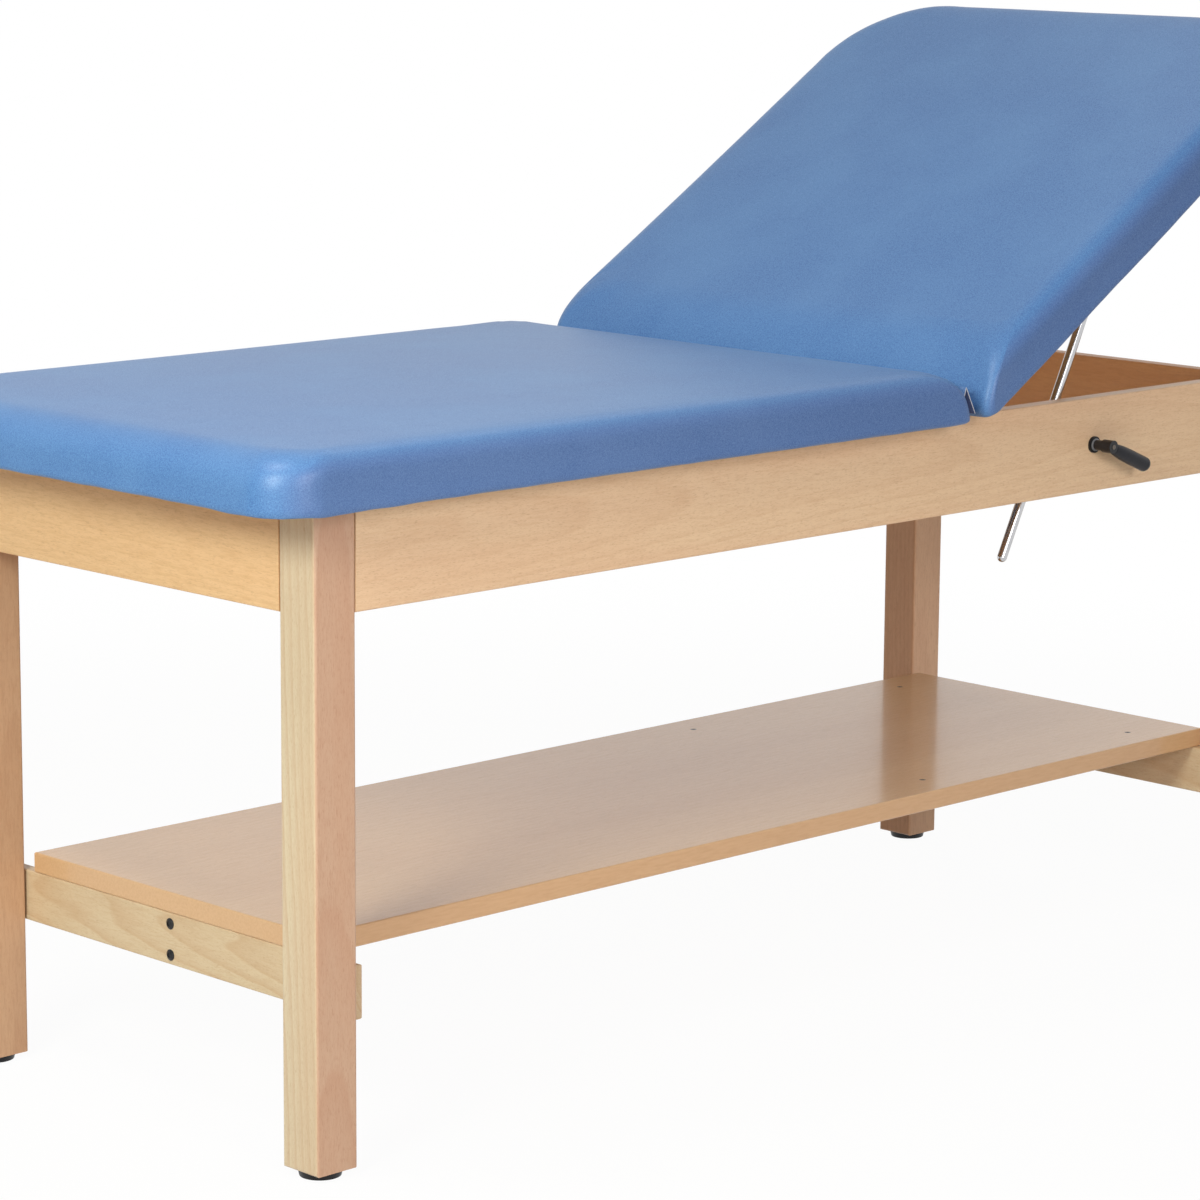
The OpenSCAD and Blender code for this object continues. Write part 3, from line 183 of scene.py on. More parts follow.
class Graph:
    """One node-based material with a Principled surface."""

    def __init__(self, name: str) -> None:
        """Starts an empty material.

        Args:
            name: Name of the material.
        """
        self.material = bpy.data.materials.new(name)
        self.material.use_nodes = True
        self.tree = self.material.node_tree
        self.tree.nodes.clear()

    def add(
        self,
        kind: str,
        settings: dict | None = None,
        sockets: dict | None = None,
        output: int | str = 0,
    ) -> Sock:
        """Adds any node.

        Args:
            kind: Type of the node.
            settings: Properties that are set first; "stops" holds a ramp's stops.
            sockets: Values or links of its inputs, by name or index.
            output: Name or index of the output that is returned.

        Returns:
            The chosen output.
        """
        node = self.tree.nodes.new(kind)
        for key, value in (settings or {}).items():
            if key == "stops":
                ramp = node.color_ramp
                for place, colour in value[2:]:
                    ramp.elements.new(place)
                for element, (place, colour) in zip(ramp.elements, sorted(value)):
                    element.position = place
                    element.color = (*colour, 1.0)
            else:
                setattr(node, key, value)
        for key, value in (sockets or {}).items():
            if isinstance(value, Sock):
                self.tree.links.new(value.socket, node.inputs[key])
            else:
                slot = node.inputs[key]
                wide = slot.type == "RGBA" and len(value) == 3
                slot.default_value = (*value, 1.0) if wide else value
        return Sock(self, node.outputs[output])

    def mix(
        self, share: Sock | float, first: Sock | Colour, second: Sock | Colour, blend: str = "MIX"
    ) -> Sock:
        """Mixes two colours.

        Args:
            share: How much of the second colour.
            first: First colour.
            second: Second colour.
            blend: Blend mode.

        Returns:
            The mixed colour.
        """
        settings = {"data_type": "RGBA", "blend_type": blend}
        return self.add("ShaderNodeMix", settings, {0: share, 6: first, 7: second}, 2)

    def vector(
        self, operation: str, first: Sock | Point, second: Sock | Point = (0, 0, 0), output: int = 0
    ) -> Sock:
        """Adds a Vector Math node and returns one of its outputs."""
        settings = {"operation": operation}
        return self.add("ShaderNodeVectorMath", settings, {0: first, 1: second}, output)

    def place(self) -> Sock:
        """Position on the object, in metres."""
        return self.add("ShaderNodeTexCoord", output="Object")

    def part(self, spot: Sock, axis: Point) -> Sock:
        """Part of a vector that lies along a unit axis."""
        return self.vector("DOT_PRODUCT", spot, axis, 1)

    def board(self, grain: Grain, centre: Vector) -> Sock:
        """Position on a board, from its centre.

        Args:
            grain: Way its grain runs.
            centre: Centre of the board.

        Returns:
            The position, with X along the grain.
        """
        from_centre = self.vector("SUBTRACT", self.place(), tuple(centre))
        turn = tuple(math.radians(a) for a in grain.value)
        return self.add("ShaderNodeMapping", sockets={"Vector": from_centre, "Rotation": turn})

    def facing(self, axis: Point) -> Sock:
        """How squarely the surface faces along an axis of the object.

        Args:
            axis: Unit axis.

        Returns:
            1 where it faces along the axis either way, 0 where it lies along it.
        """
        normal = self.add("ShaderNodeTexCoord", output="Normal")
        return abs(self.part(normal, axis))

    def round_bar(self, core: tuple[Point, Point]) -> Sock:
        """Normal of a truly round bar, kept off its flat ends and its eye.

        Args:
            core: A point on the bar's axis and the axis's unit direction.

        Returns:
            The normal in world space.
        """
        point, axis = core
        out = self.vector("SUBTRACT", self.place(), point)
        out = self.vector("SUBTRACT", out, self.vector("PROJECT", out, axis))
        out = self.vector("NORMALIZE", out)
        own = self.add("ShaderNodeTexCoord", output="Normal")
        share = self.part(own, out).smooth(0.97, 0.985)
        both = self.add("ShaderNodeMix", {"data_type": "VECTOR"}, {0: share, 4: own, 5: out}, 1)
        settings = {"vector_type": "NORMAL", "convert_from": "OBJECT", "convert_to": "WORLD"}
        return self.add("ShaderNodeVectorTransform", settings, {0: both})

    def noise(
        self, spot: Sock, stretch: Point | int, detail: float = 2.0, rough: float = 0.5
    ) -> Sock:
        """Noise over a scaled position.

        Args:
            spot: Position in metres.
            stretch: Cells per metre, along each axis or along all.
            detail: Number of finer layers.
            rough: Strength of the finer layers.

        Returns:
            Noise between 0 and 1.
        """
        cells = (stretch,) * 3 if isinstance(stretch, int) else stretch
        scaled = self.vector("MULTIPLY", spot, cells)
        sockets = {"Vector": scaled, "Scale": 1.0, "Detail": detail, "Roughness": rough}
        return self.add("ShaderNodeTexNoise", sockets=sockets)

    def cells(self, spot: Sock, scale: float) -> Sock:
        """Distance to the nearest cell centre of a random cell pattern.

        Args:
            spot: Position in metres.
            scale: Cells per metre.

        Returns:
            The distance, about 0 to 0.8.
        """
        return self.add("ShaderNodeTexVoronoi", sockets={"Vector": spot, "Scale": scale})

    def finish(
        self,
        sockets: dict,
        height: Sock | None = None,
        depth: float = 0.0,
        normal: Sock | None = None,
    ) -> bpy.types.Material:
        """Adds the surface shader and an optional bump.

        Args:
            sockets: Inputs of the Principled shader.
            height: Height of the bump.
            depth: Depth of the bump in metres.
            normal: Normal that the bump starts from.

        Returns:
            The material.
        """
        if height is not None:
            start = {} if normal is None else {"Normal": normal}
            bumps = {"Height": height, "Distance": depth, "Strength": 1.0, **start}
            sockets = {**sockets, "Normal": self.add("ShaderNodeBump", sockets=bumps)}
        surface = self.add("ShaderNodeBsdfPrincipled", sockets=sockets)
        self.add_output(surface)
        return self.material

    def add_output(self, surface: Sock) -> None:
        """Links a shader to the material's output."""
        node = self.tree.nodes.new("ShaderNodeOutputMaterial")
        self.tree.links.new(surface.socket, node.inputs["Surface"])


# Finishes

# Half the width over which two colours of one metal piece meet, in metres
EDGE_BLUR = 0.0002
# Shift of the figure from one board to the next, and of the first board
FIGURE_STEP, FIRST_FIGURE = 3.17, 0.4


class Grain(Enum):
    """Way the grain of a board runs, as the turn in degrees that brings it onto X."""

    LENGTHWISE = (0.0, 0.0, 0.0)
    CROSSWISE = (0.0, 0.0, -90.0)
    UPRIGHT = (0.0, 90.0, 0.0)
    BACKREST = (0.0, 32.0, 0.0)

    def axis(self) -> Point:
        """Unit axis of the grain on the object."""
        about_z = Matrix.Rotation(math.radians(self.value[2]), 3, "Z")
        turn = Matrix.Rotation(math.radians(self.value[1]), 3, "Y") @ about_z
        return tuple(turn.inverted() @ Vector(ALONG))


@dataclass(frozen=True)
class Beech:
    """Lacquered beech, with rings round a pith outside the board, streaks, fine flecks and a
    painted side light on faces along Y.
    """

    grain: Grain
    light: Colour = screen(228, 196, 163)
    dark: Colour = screen(201, 158, 120)
    warm: Colour = screen(216, 170, 138)
    fleck: Colour = screen(166, 118, 82)
    ring_w: float = 0.0060
    ring_share: float = 0.20
    streak_share: float = 0.28
    warm_share: float = 0.35
    fleck_share: float = 0.62
    wave: float = 0.007
    runout: float = 0.022
    pith: tuple[float, float] = (0.085, 0.012)
    shift: float = 0.0
    gloss: float = 0.40
    coat: float = 0.10
    coat_gloss: float = 0.22
    band: Colour | None = None
    # Painted side light: a tint that multiplies the faces along Y
    painted_side_light: Colour = (1.0, 1.0, 1.0)

    def build(self, name: str, centre: Vector) -> bpy.types.Material:
        """Builds the wood of one piece.

        Args:
            name: Name of the material.
            centre: Centre of the piece, from which its rings are placed.

        Returns:
            The material.
        """
        g = Graph(name)
        board = g.board(self.grain, centre)
        spot = g.vector("ADD", board, (self.shift, self.shift * 0.37, self.shift * 0.71))

        drift = g.noise(spot, (2.2, 11, 11), 3.0, 0.55) - 0.5
        slow = g.noise(spot, (0.9, 3.0, 3.0), 1.0) - 0.5
        across = g.vector("SUBTRACT", g.vector("MULTIPLY", board, (0, 1, 1)), (0, *self.pith))
        reach = g.vector("LENGTH", across, output=1)
        along = g.part(board, ALONG)
        depth = reach + along * self.runout + drift * (2 * self.wave) + slow * (3 * self.wave)
        ring = (depth / self.ring_w).fract()
        late = ring ** 2.5 * (1 - ring.smooth(0.86, 1.0))

        streak = g.noise(spot, (48, 400, 400), 3.0, 0.6)
        fine = g.noise(spot, (150, 1100, 1100), 2.0, 0.6)
        pores = g.noise(spot, (210, 1500, 1500), 1.0).smooth(0.60, 0.74)
        flecks = g.noise(spot, (110, 620, 620), 1.0).smooth(0.63, 0.75)
        blush = g.noise(spot, (1.3, 14, 14), 2.0).smooth(0.35, 0.68)

        colour = g.mix(late * (self.ring_share * 1.6), self.light, self.dark)
        colour = g.mix(blush * self.warm_share, colour, self.warm)
        colour = g.mix(streak.smooth(0.40, 0.72) * self.streak_share, colour, self.dark)
        colour = g.mix(fine.smooth(0.5, 0.75) * 0.20, colour, self.fleck)
        colour = g.mix((pores * 0.5).larger(flecks * 0.42) * self.fleck_share, colour, self.fleck)
        if self.band is not None:
            side = 1 - g.facing(UP).smooth(0.5, 0.8)
            edge = g.mix(streak.smooth(0.3, 0.8) * 0.4, self.band, self.dark)
            colour = g.mix(side, colour, edge)
        else:
            end = g.facing(self.grain.axis()).smooth(0.75, 0.95)
            colour = g.mix(end * 0.08, colour, self.fleck)
        # Faces along Y multiplied by the painted side light: darker and pinker on the legs, lighter
        # on the head leg
        colour = g.mix(g.facing(ACROSS).smooth(0.5, 0.8), colour, self.painted_side_light, "MULTIPLY")
        return g.finish(
            {
                "Base Color": colour,
                "Roughness": self.gloss + 0.10 * streak,
                "Coat Weight": self.coat,
                "Coat Roughness": self.coat_gloss,
                "Specular IOR Level": 0.4,
            },
            streak * 0.5 + fine * 0.3 - pores * 0.5,
            0.00012,
        )


@dataclass(frozen=True)
class Plywood:
    """Bare birch plywood: wide figure on its faces, plies on its edges."""

    grain: Grain
    face: Colour = screen(206, 172, 128)
    dark: Colour = screen(168, 124, 82)
    plies: int = 7
    thick: float = 0.016

    def build(self, name: str, centre: Vector) -> bpy.types.Material:
        """Builds the plywood of one board.

        Args:
            name: Name of the material.
            centre: Centre of the board.

        Returns:
            The material.
        """
        g = Graph(name)
        board = g.board(self.grain, centre)
        figure = (g.noise(board, (2.5, 9, 9), 3.0, 0.6) * 14).fract()
        streak = g.noise(board, (20, 320, 320), 3.0, 0.6)
        pores = g.noise(board, (120, 1400, 1400), 1.0).smooth(0.6, 0.75)
        up = g.part(board, UP)
        layer = (up * (self.plies / self.thick / 2)).fract().smooth(0.45, 0.55)
        edge = 1 - g.facing(tuple(self.normal())).smooth(0.5, 0.8)
        colour = g.mix(figure.smooth(0.1, 0.9) * 0.35, self.face, self.dark)
        colour = g.mix(streak.smooth(0.4, 0.75) * 0.35, colour, self.dark)
        colour = g.mix(pores * 0.4, colour, self.dark)
        colour = g.mix(edge * layer * 0.8, colour, self.dark)
        sockets = {"Base Color": colour, "Roughness": 0.55 + 0.15 * streak}
        return g.finish(sockets, streak - pores * 0.5, 0.00015)

    def normal(self) -> Vector:
        """Direction square to the board's faces."""
        turn = Matrix.Rotation(math.radians(self.grain.value[1]), 3, "Y")
        return turn.inverted() @ Vector(UP)


@dataclass(frozen=True)
class Vinyl:
    """Coated upholstery vinyl with a fine pebbled grain over slightly uneven foam, and painted side
    shade on faces along Y.
    """

    colour: Colour = screen(84, 126, 176)
    deep: Colour = screen(56, 94, 148)
    pale: Colour = screen(116, 158, 200)
    # Painted side shade: faces along Y darker and more purple
    painted_side_light: Colour = (1.02, 0.84, 0.88)
    pebble: float = 950.0
    gloss: float = 0.32

    def build(self, name: str) -> bpy.types.Material:
        """Builds the vinyl.

        Args:
            name: Name of the material.

        Returns:
            The material.
        """
        g = Graph(name)
        spot = g.place()
        grain = g.cells(spot, self.pebble)
        coarse = g.noise(spot, 520, 3.0, 0.65)
        cloud = g.noise(spot, 7, 3.0)
        wrinkle = g.noise(spot, 46, 2.0)
        colour = g.mix(grain.smooth(0.25, 0.75) * 0.75, self.colour, self.deep)
        colour = g.mix(coarse.smooth(0.45, 0.8) * 0.36, colour, self.pale)
        colour = g.mix(cloud.smooth(0.35, 0.7) * 0.16, colour, self.pale)
        # Faces along Y multiplied by the painted side shade
        colour = g.mix(g.facing(ACROSS).smooth(0.55, 0.95), colour, self.painted_side_light, "MULTIPLY")
        rough = self.gloss + 0.10 * grain + 0.06 * cloud
        height = grain * -0.10 + coarse * 0.06 + wrinkle * 0.35
        return g.finish(
            {"Base Color": colour, "Roughness": rough, "Specular IOR Level": 0.36},
            height,
            0.0006,
        )


@dataclass(frozen=True)
class Backing:
    """Knitted backing of the vinyl: white at cut edges, painted dark blue as shade on the strip's
    reverse.
    """

    colour: Colour = screen(226, 228, 232)
    gaps: Colour = screen(176, 182, 192)
    fuzz: Colour = screen(206, 208, 214)

    def build(self, name: str) -> bpy.types.Material:
        """Builds the backing.

        Args:
            name: Name of the material.

        Returns:
            The material.
        """
        g = Graph(name)
        spot = g.place()
        loops = g.cells(spot, 1300.0)
        fuzz = g.noise(spot, 400, 3.0)
        colour = g.mix(loops.smooth(0.2, 0.8) * 0.5, self.colour, self.gaps)
        colour = g.mix(fuzz * 0.3, colour, self.fuzz)
        sockets = {"Base Color": colour, "Roughness": 0.85 + 0.1 * fuzz}
        return g.finish(sockets, loops * -1.0, 0.0002)


CUT_EDGE = Backing()
# Reverse of the gap strip: backing painted dark blue as painted shade, not its own white
SHADED_UNDERSIDE = Backing(screen(58, 72, 112), screen(40, 52, 88), screen(52, 62, 98))


@dataclass(frozen=True)
class Metal:
    """Plain, plated or blackened metal with faint tool marks and smudges."""

    colour: Colour
    tarnish: Colour
    gloss: float = 0.30
    marks: Point = (300, 40, 300)
    mark_depth: float = 0.00003
    metallic: float = 1.0
    band_y: float | None = None
    band_colour: Colour = screen(150, 152, 156)
    core: tuple[Point, Point] | None = None

    def build(self, name: str) -> bpy.types.Material:
        """Builds the metal.

        Args:
            name: Name of the material.

        Returns:
            The material.
        """
        g = Graph(name)
        spot = g.place()
        lines = g.noise(spot, self.marks, 2.0, 0.6)
        smudge = g.noise(spot, 60, 3.0)
        colour = g.mix(smudge.smooth(0.35, 0.8) * 0.5, self.colour, self.tarnish)
        colour = g.mix(lines.smooth(0.45, 0.8) * 0.25, colour, self.tarnish)
        if self.band_y is not None:
            beyond = g.part(spot, ACROSS).smooth(self.band_y - EDGE_BLUR, self.band_y + EDGE_BLUR)
            colour = g.mix(beyond, colour, self.band_colour)
        rough = self.gloss + 0.12 * smudge + 0.06 * lines
        sockets = {"Base Color": colour, "Metallic": self.metallic, "Roughness": rough}
        normal = None if self.core is None else g.round_bar(self.core)
        return g.finish(sockets, lines, self.mark_depth, normal)


@dataclass(frozen=True)
class Plastic:
    """Moulded plastic or rubber with a fine spark-eroded texture and scuffs."""

    colour: Colour = screen(30, 30, 34)
    worn: Colour = screen(62, 62, 68)
    gloss: float = 0.42
    pebble: float = 1400.0
    depth: float = 0.00006

    def build(self, name: str) -> bpy.types.Material:
        """Builds the plastic.

        Args:
            name: Name of the material.

        Returns:
            The material.
        """
        g = Graph(name)
        spot = g.place()
        grain = g.cells(spot, self.pebble)
        scuff = g.noise(spot, 90, 4.0, 0.7).smooth(0.56, 0.8)
        colour = g.mix(scuff * 0.5, self.colour, self.worn)
        colour = g.mix(grain.smooth(0.3, 0.8) * 0.2, colour, self.worn)
        rough = self.gloss + 0.15 * scuff
        sockets = {"Base Color": colour, "Roughness": rough, "Specular IOR Level": 0.3}
        return g.finish(sockets, grain * -1.0, self.depth)


ZINC = Metal(screen(196, 199, 204), screen(150, 154, 160), 0.34)
STEEL = Metal(screen(176, 178, 182), screen(130, 132, 138), 0.38)
CHROME = Metal(
    screen(200, 200, 202),
    screen(180, 181, 184),
    0.07,
    (160, 160, 20),
    0.000004,
    core=((0.57544, -0.2455, 0.90089), (0.44886, 0.0, 0.89360)),
)
BLACK_STEEL = Metal(screen(26, 25, 27), screen(58, 54, 54), 0.34, metallic=0.35)
LEVER_METAL = Metal(screen(24, 24, 27), screen(50, 50, 56), 0.22, metallic=0.3, band_y=-0.315)
BLACK_PLASTIC = Plastic(screen(15, 15, 17), screen(36, 36, 40), 0.40)
GRIP_PLASTIC = Plastic(screen(20, 20, 25), screen(42, 44, 54), 0.36)
RUBBER = Plastic(screen(44, 44, 46), screen(84, 84, 86), 0.62, 900.0, 0.00012)

RAIL_WOOD = Beech(
    Grain.LENGTHWISE,
    light=screen(231, 200, 163),
    dark=screen(206, 164, 124),
    warm=screen(223, 180, 144),
)
LEG_WOOD = Beech(
    Grain.UPRIGHT,
    light=screen(208, 190, 160),
    dark=screen(190, 154, 122),
    warm=screen(203, 175, 143),
    # Faces along Y painted darker and pinker as side shade
    painted_side_light=(0.92, 0.76, 0.77),
    ring_w=0.011,
    ring_share=0.44,
    streak_share=0.22,
    warm_share=0.6,
    pith=(0.070, 0.006),
    runout=0.045,
    wave=0.012,
)
FAR_LEG_WOOD = Beech(
    Grain.UPRIGHT,
    light=screen(201, 162, 128),
    dark=screen(172, 126, 94),
    warm=screen(190, 146, 114),
    ring_w=0.008,
    pith=(0.070, -0.01),
    runout=0.03,
)
# Head leg: wood painted darker as the shade under the table, with its faces along Y painted lighter
# as side light
SHADED_HEAD_LEG_WOOD = Beech(
    Grain.UPRIGHT,
    light=screen(208, 163, 126),
    dark=screen(178, 126, 92),
    warm=screen(196, 147, 112),
    painted_side_light=(1.30, 1.50, 1.70),
    ring_w=0.007,
    pith=(0.070, 0.01),
    runout=0.02,
)
APRON_WOOD = Beech(
    Grain.CROSSWISE,
    light=screen(225, 184, 136),
    dark=screen(198, 150, 102),
    warm=screen(218, 174, 128),
    ring_share=0.14,
    streak_share=0.34,
    fleck_share=0.6,
)
LOW_WOOD = Beech(
    Grain.CROSSWISE,
    light=screen(212, 190, 156),
    dark=screen(192, 154, 114),
    warm=screen(206, 174, 136),
    ring_share=0.46,
    wave=0.013,
    ring_w=0.0075,
    pith=(-0.10, 0.02),
    runout=0.05,
)
INNER_WOOD = Beech(
    Grain.CROSSWISE,
    light=screen(206, 162, 118),
    dark=screen(176, 124, 80),
    warm=screen(196, 146, 100),
    gloss=0.55,
    coat=0.0,
)
# Head apron: wood painted darker and warmer as the shade inside the frame
SHADED_HEAD_APRON_WOOD = Beech(
    Grain.CROSSWISE,
    light=screen(201, 148, 98),
    dark=screen(170, 112, 66),
    warm=screen(190, 132, 84),
    ring_share=0.14,
)
BLOCK_WOOD = Beech(Grain.UPRIGHT, light=screen(212, 174, 132), gloss=0.55, coat=0.0)
SHELF_WOOD = Beech(
    Grain.LENGTHWISE,
    light=screen(217, 178, 134),
    dark=screen(192, 144, 98),
    warm=screen(206, 162, 118),
    ring_share=0.12,
    streak_share=0.22,
    ring_w=0.010,
    pith=(0.5, -0.1),
    gloss=0.34,
    coat=0.55,
    coat_gloss=0.13,
    band=screen(213, 171, 127),
)


SIDES = ("near", "far")


@dataclass
class Joinery:
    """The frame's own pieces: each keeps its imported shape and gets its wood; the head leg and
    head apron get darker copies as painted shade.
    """

    woods: dict[str, Beech | Plywood] = field(
        default_factory=lambda: {
            "leg_foot_near": LEG_WOOD,
            "leg_foot_far": FAR_LEG_WOOD,
            "leg_head_near": LEG_WOOD,
            "leg_head_far": SHADED_HEAD_LEG_WOOD,
            "side_rail_near": RAIL_WOOD,
            "side_rail_far": RAIL_WOOD,
            "apron_foot": APRON_WOOD,
            "apron_head": SHADED_HEAD_APRON_WOOD,
            "hinge_bar": INNER_WOOD,
            "middle_bar": INNER_WOOD,
            "frame_dowels": BLOCK_WOOD,
            "corner_blocks": BLOCK_WOOD,
            "lower_rail_foot": LOW_WOOD,
            "lower_rail_head": LOW_WOOD,
            "stretcher": RAIL_WOOD,
            "shelf": SHELF_WOOD,
            "shelf_battens": INNER_WOOD,
            "foot_board": Plywood(Grain.LENGTHWISE),
            "back_board": Plywood(Grain.BACKREST),
        }
    )
    hardware: dict[Metal | Plastic, tuple[str, ...]] = field(
        default_factory=lambda: {
            ZINC: (
                "corner_bolts", "lower_rail_spacers", "barrel_nuts", "rod_bracket", "rod_guide",
                *(f"hinge_leaf_{part}_{side}" for part in ("frame", "back") for side in SIDES),
            ),
            STEEL: ("hinge_pins", "rod_pin", "clamp_bearing", "clamp_spindle"),
            CHROME: ("prop_rod",),
            BLACK_STEEL: ("guide_ring",),
            RUBBER: ("clamp_pad",),
            BLACK_PLASTIC: (
                "clamp_flange",
                *(f"glide_{end}_{side}" for end in ("foot", "head") for side in SIDES),
            ),
            LEVER_METAL: ("lever_hub",),
            GRIP_PLASTIC: ("lever_grip",),
        }
    )

    def dress(self, nodes: dict[str, bpy.types.Object]) -> None:
        """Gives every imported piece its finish.

        Args:
            nodes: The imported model's pieces by name.
        """
        for index, (name, wood) in enumerate(self.woods.items()):
            low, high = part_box(name)
            if isinstance(wood, Beech):
                wood = replace(wood, shift=FIGURE_STEP * index + FIRST_FIGURE)
            paint(nodes[name], wood.build(f"wood_{name}", (low + high) / 2))
        for index, (finish, names) in enumerate(self.hardware.items()):
            material = finish.build(f"hardware_{index}")
            for name in names:
                paint(nodes[name], material)
        finishes = len(self.hardware)
        log.info("dressed %d wooden pieces, others in %d finishes", len(self.woods), finishes)


def paint(piece: bpy.types.Object, material: bpy.types.Material) -> None:
    """Puts one material on every slot of a piece.

    Args:
        piece: The piece.
        material: Its material.
    """
    if not piece.material_slots:
        piece.data.materials.append(material)
    for slot in piece.material_slots:
        slot.material = material


def settle(
    piece: bpy.types.Object,
    material: bpy.types.Material,
    body: str,
    node: str | None = None,
) -> None:
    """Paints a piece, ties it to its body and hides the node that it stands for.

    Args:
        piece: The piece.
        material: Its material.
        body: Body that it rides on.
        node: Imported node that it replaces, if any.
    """
    paint(piece, material)
    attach(piece, body)
    if node is not None:
        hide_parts(node)


def make_piece(
    name: str, points: np.ndarray, faces: Faces, smooth: bool = True
) -> bpy.types.Object:
    """Makes a mesh piece with outward normals.

    Args:
        name: Name of the piece.
        points: Vertices, one row each, in metres.
        faces: Vertex indices of each face.
        smooth: Whether faces are smooth shaded.

    Returns:
        The linked object.
    """
    mesh = bpy.data.meshes.new(name)
    mesh.from_pydata([tuple(p) for p in points], [], faces)
    work = bmesh.new()
    work.from_mesh(mesh)
    bmesh.ops.recalc_face_normals(work, faces=work.faces)
    work.to_mesh(mesh)
    work.free()
    mesh.polygons.foreach_set("use_smooth", [smooth] * len(mesh.polygons))
    piece = bpy.data.objects.new(name, mesh)
    bpy.context.scene.collection.objects.link(piece)
    return piece


# Upholstery

# Smallest plan radius of a pad's corner
MIN_CORNER = 0.0075
# How flat the middle of a pad's top is
CROWN_POWER = 2.4
# Wave lengths of the pull between staples, its depth, its mean and how high up it fades out
PULL_WAVES = (0.21, 0.083, 0.047)
PULL_DEPTH, PULL_MEAN, PULL_FADE = 0.0008, 0.0004, 0.006
# Depth of the pleats in the open corners
PLEAT = 0.00045
# Width of the edge strip that the pull reaches
PULL_EDGE = 0.03
# Length over which the sag fades, and where it starts and how fast it grows towards the side
SAG_RUN, SAG_FROM, SAG_OVER = 0.22, 0.2, 0.13
# Growth of a corner's plan radius with its edge's inset, at the gap and at the open end
GROW_AT_GAP, GROW_OPEN = 0.6, -0.5
# Heights of the lowest rings, and of those above as shares of the wall and of the top edge
LOW_RINGS, WALL_RINGS = (0.0, 0.0008, 0.0022), (0.2, 0.45, 0.72)
TOP_RINGS = (0.0, 0.2, 0.4, 0.58, 0.74, 0.87, 0.96, 1.0)
# Vertices of a cover that the board holds
HELD = "held"
# Last frame and settings of the cloth simulation
CLOTH_FRAMES = 12
CLOTH = {
    "quality": 4,
    "mass": 0.3,
    "tension_stiffness": 25,
    "compression_stiffness": 25,
    "shear_stiffness": 15,
    "bending_stiffness": 2,
    "use_pressure": True,
    "uniform_pressure_force": 3.0,
    "vertex_group_mass": HELD,
}
# Share of the swell that stays at the gap, where it starts to grow and over which length
SWELL_AT_GAP, SWELL_FROM, SWELL_OVER = 0.08, 0.015, 0.09
# Height above the underside at which the swell is full
SWELL_RISE = 0.02
# Seed of the hems, to which the pad's own is added
HEM_SEED = 40
# Length of the shoulders of a staple
SHOULDER = 0.0006
# Spread of the staples' spacing, their largest turn, and their place as a share of the hem
STAPLE_SPREAD, STAPLE_TURN, STAPLE_PLACE = (0.85, 1.15), 0.2, (0.5, 0.68)
# Share of each side of the gap strip that its rounded ridge takes, and steps along a side
RIDGE_SHARE, SIDE_STEPS = 0.1, 6
# Depth, turns and start of the ripples along the gap strip's ridge, and their random part
RIPPLES, RIPPLE_NOISE = ((0.0007, 19.0, 0.0), (0.0004, 47.0, 1.3)), 0.00015


@dataclass
class Section:
    """Place of a pad: flat on the frame, or turned about the hinge axis with the backrest."""

    origin: Point
    tilt: float = 0.0
    lift: float = 0.0

    def place(self, points: np.ndarray) -> np.ndarray:
        """Moves points of the pad's own frame onto the table.

        Args:
            points: Rows of length, side and height.

        Returns:
            Rows of X, Y and Z.
        """
        c, s = math.cos(self.tilt), math.sin(self.tilt)
        u, v = points[:, 0], points[:, 2] + self.lift
        ox, oy, oz = self.origin
        return np.stack([ox + u * c - v * s, oy + points[:, 1], oz + u * s + v * c], axis=1)


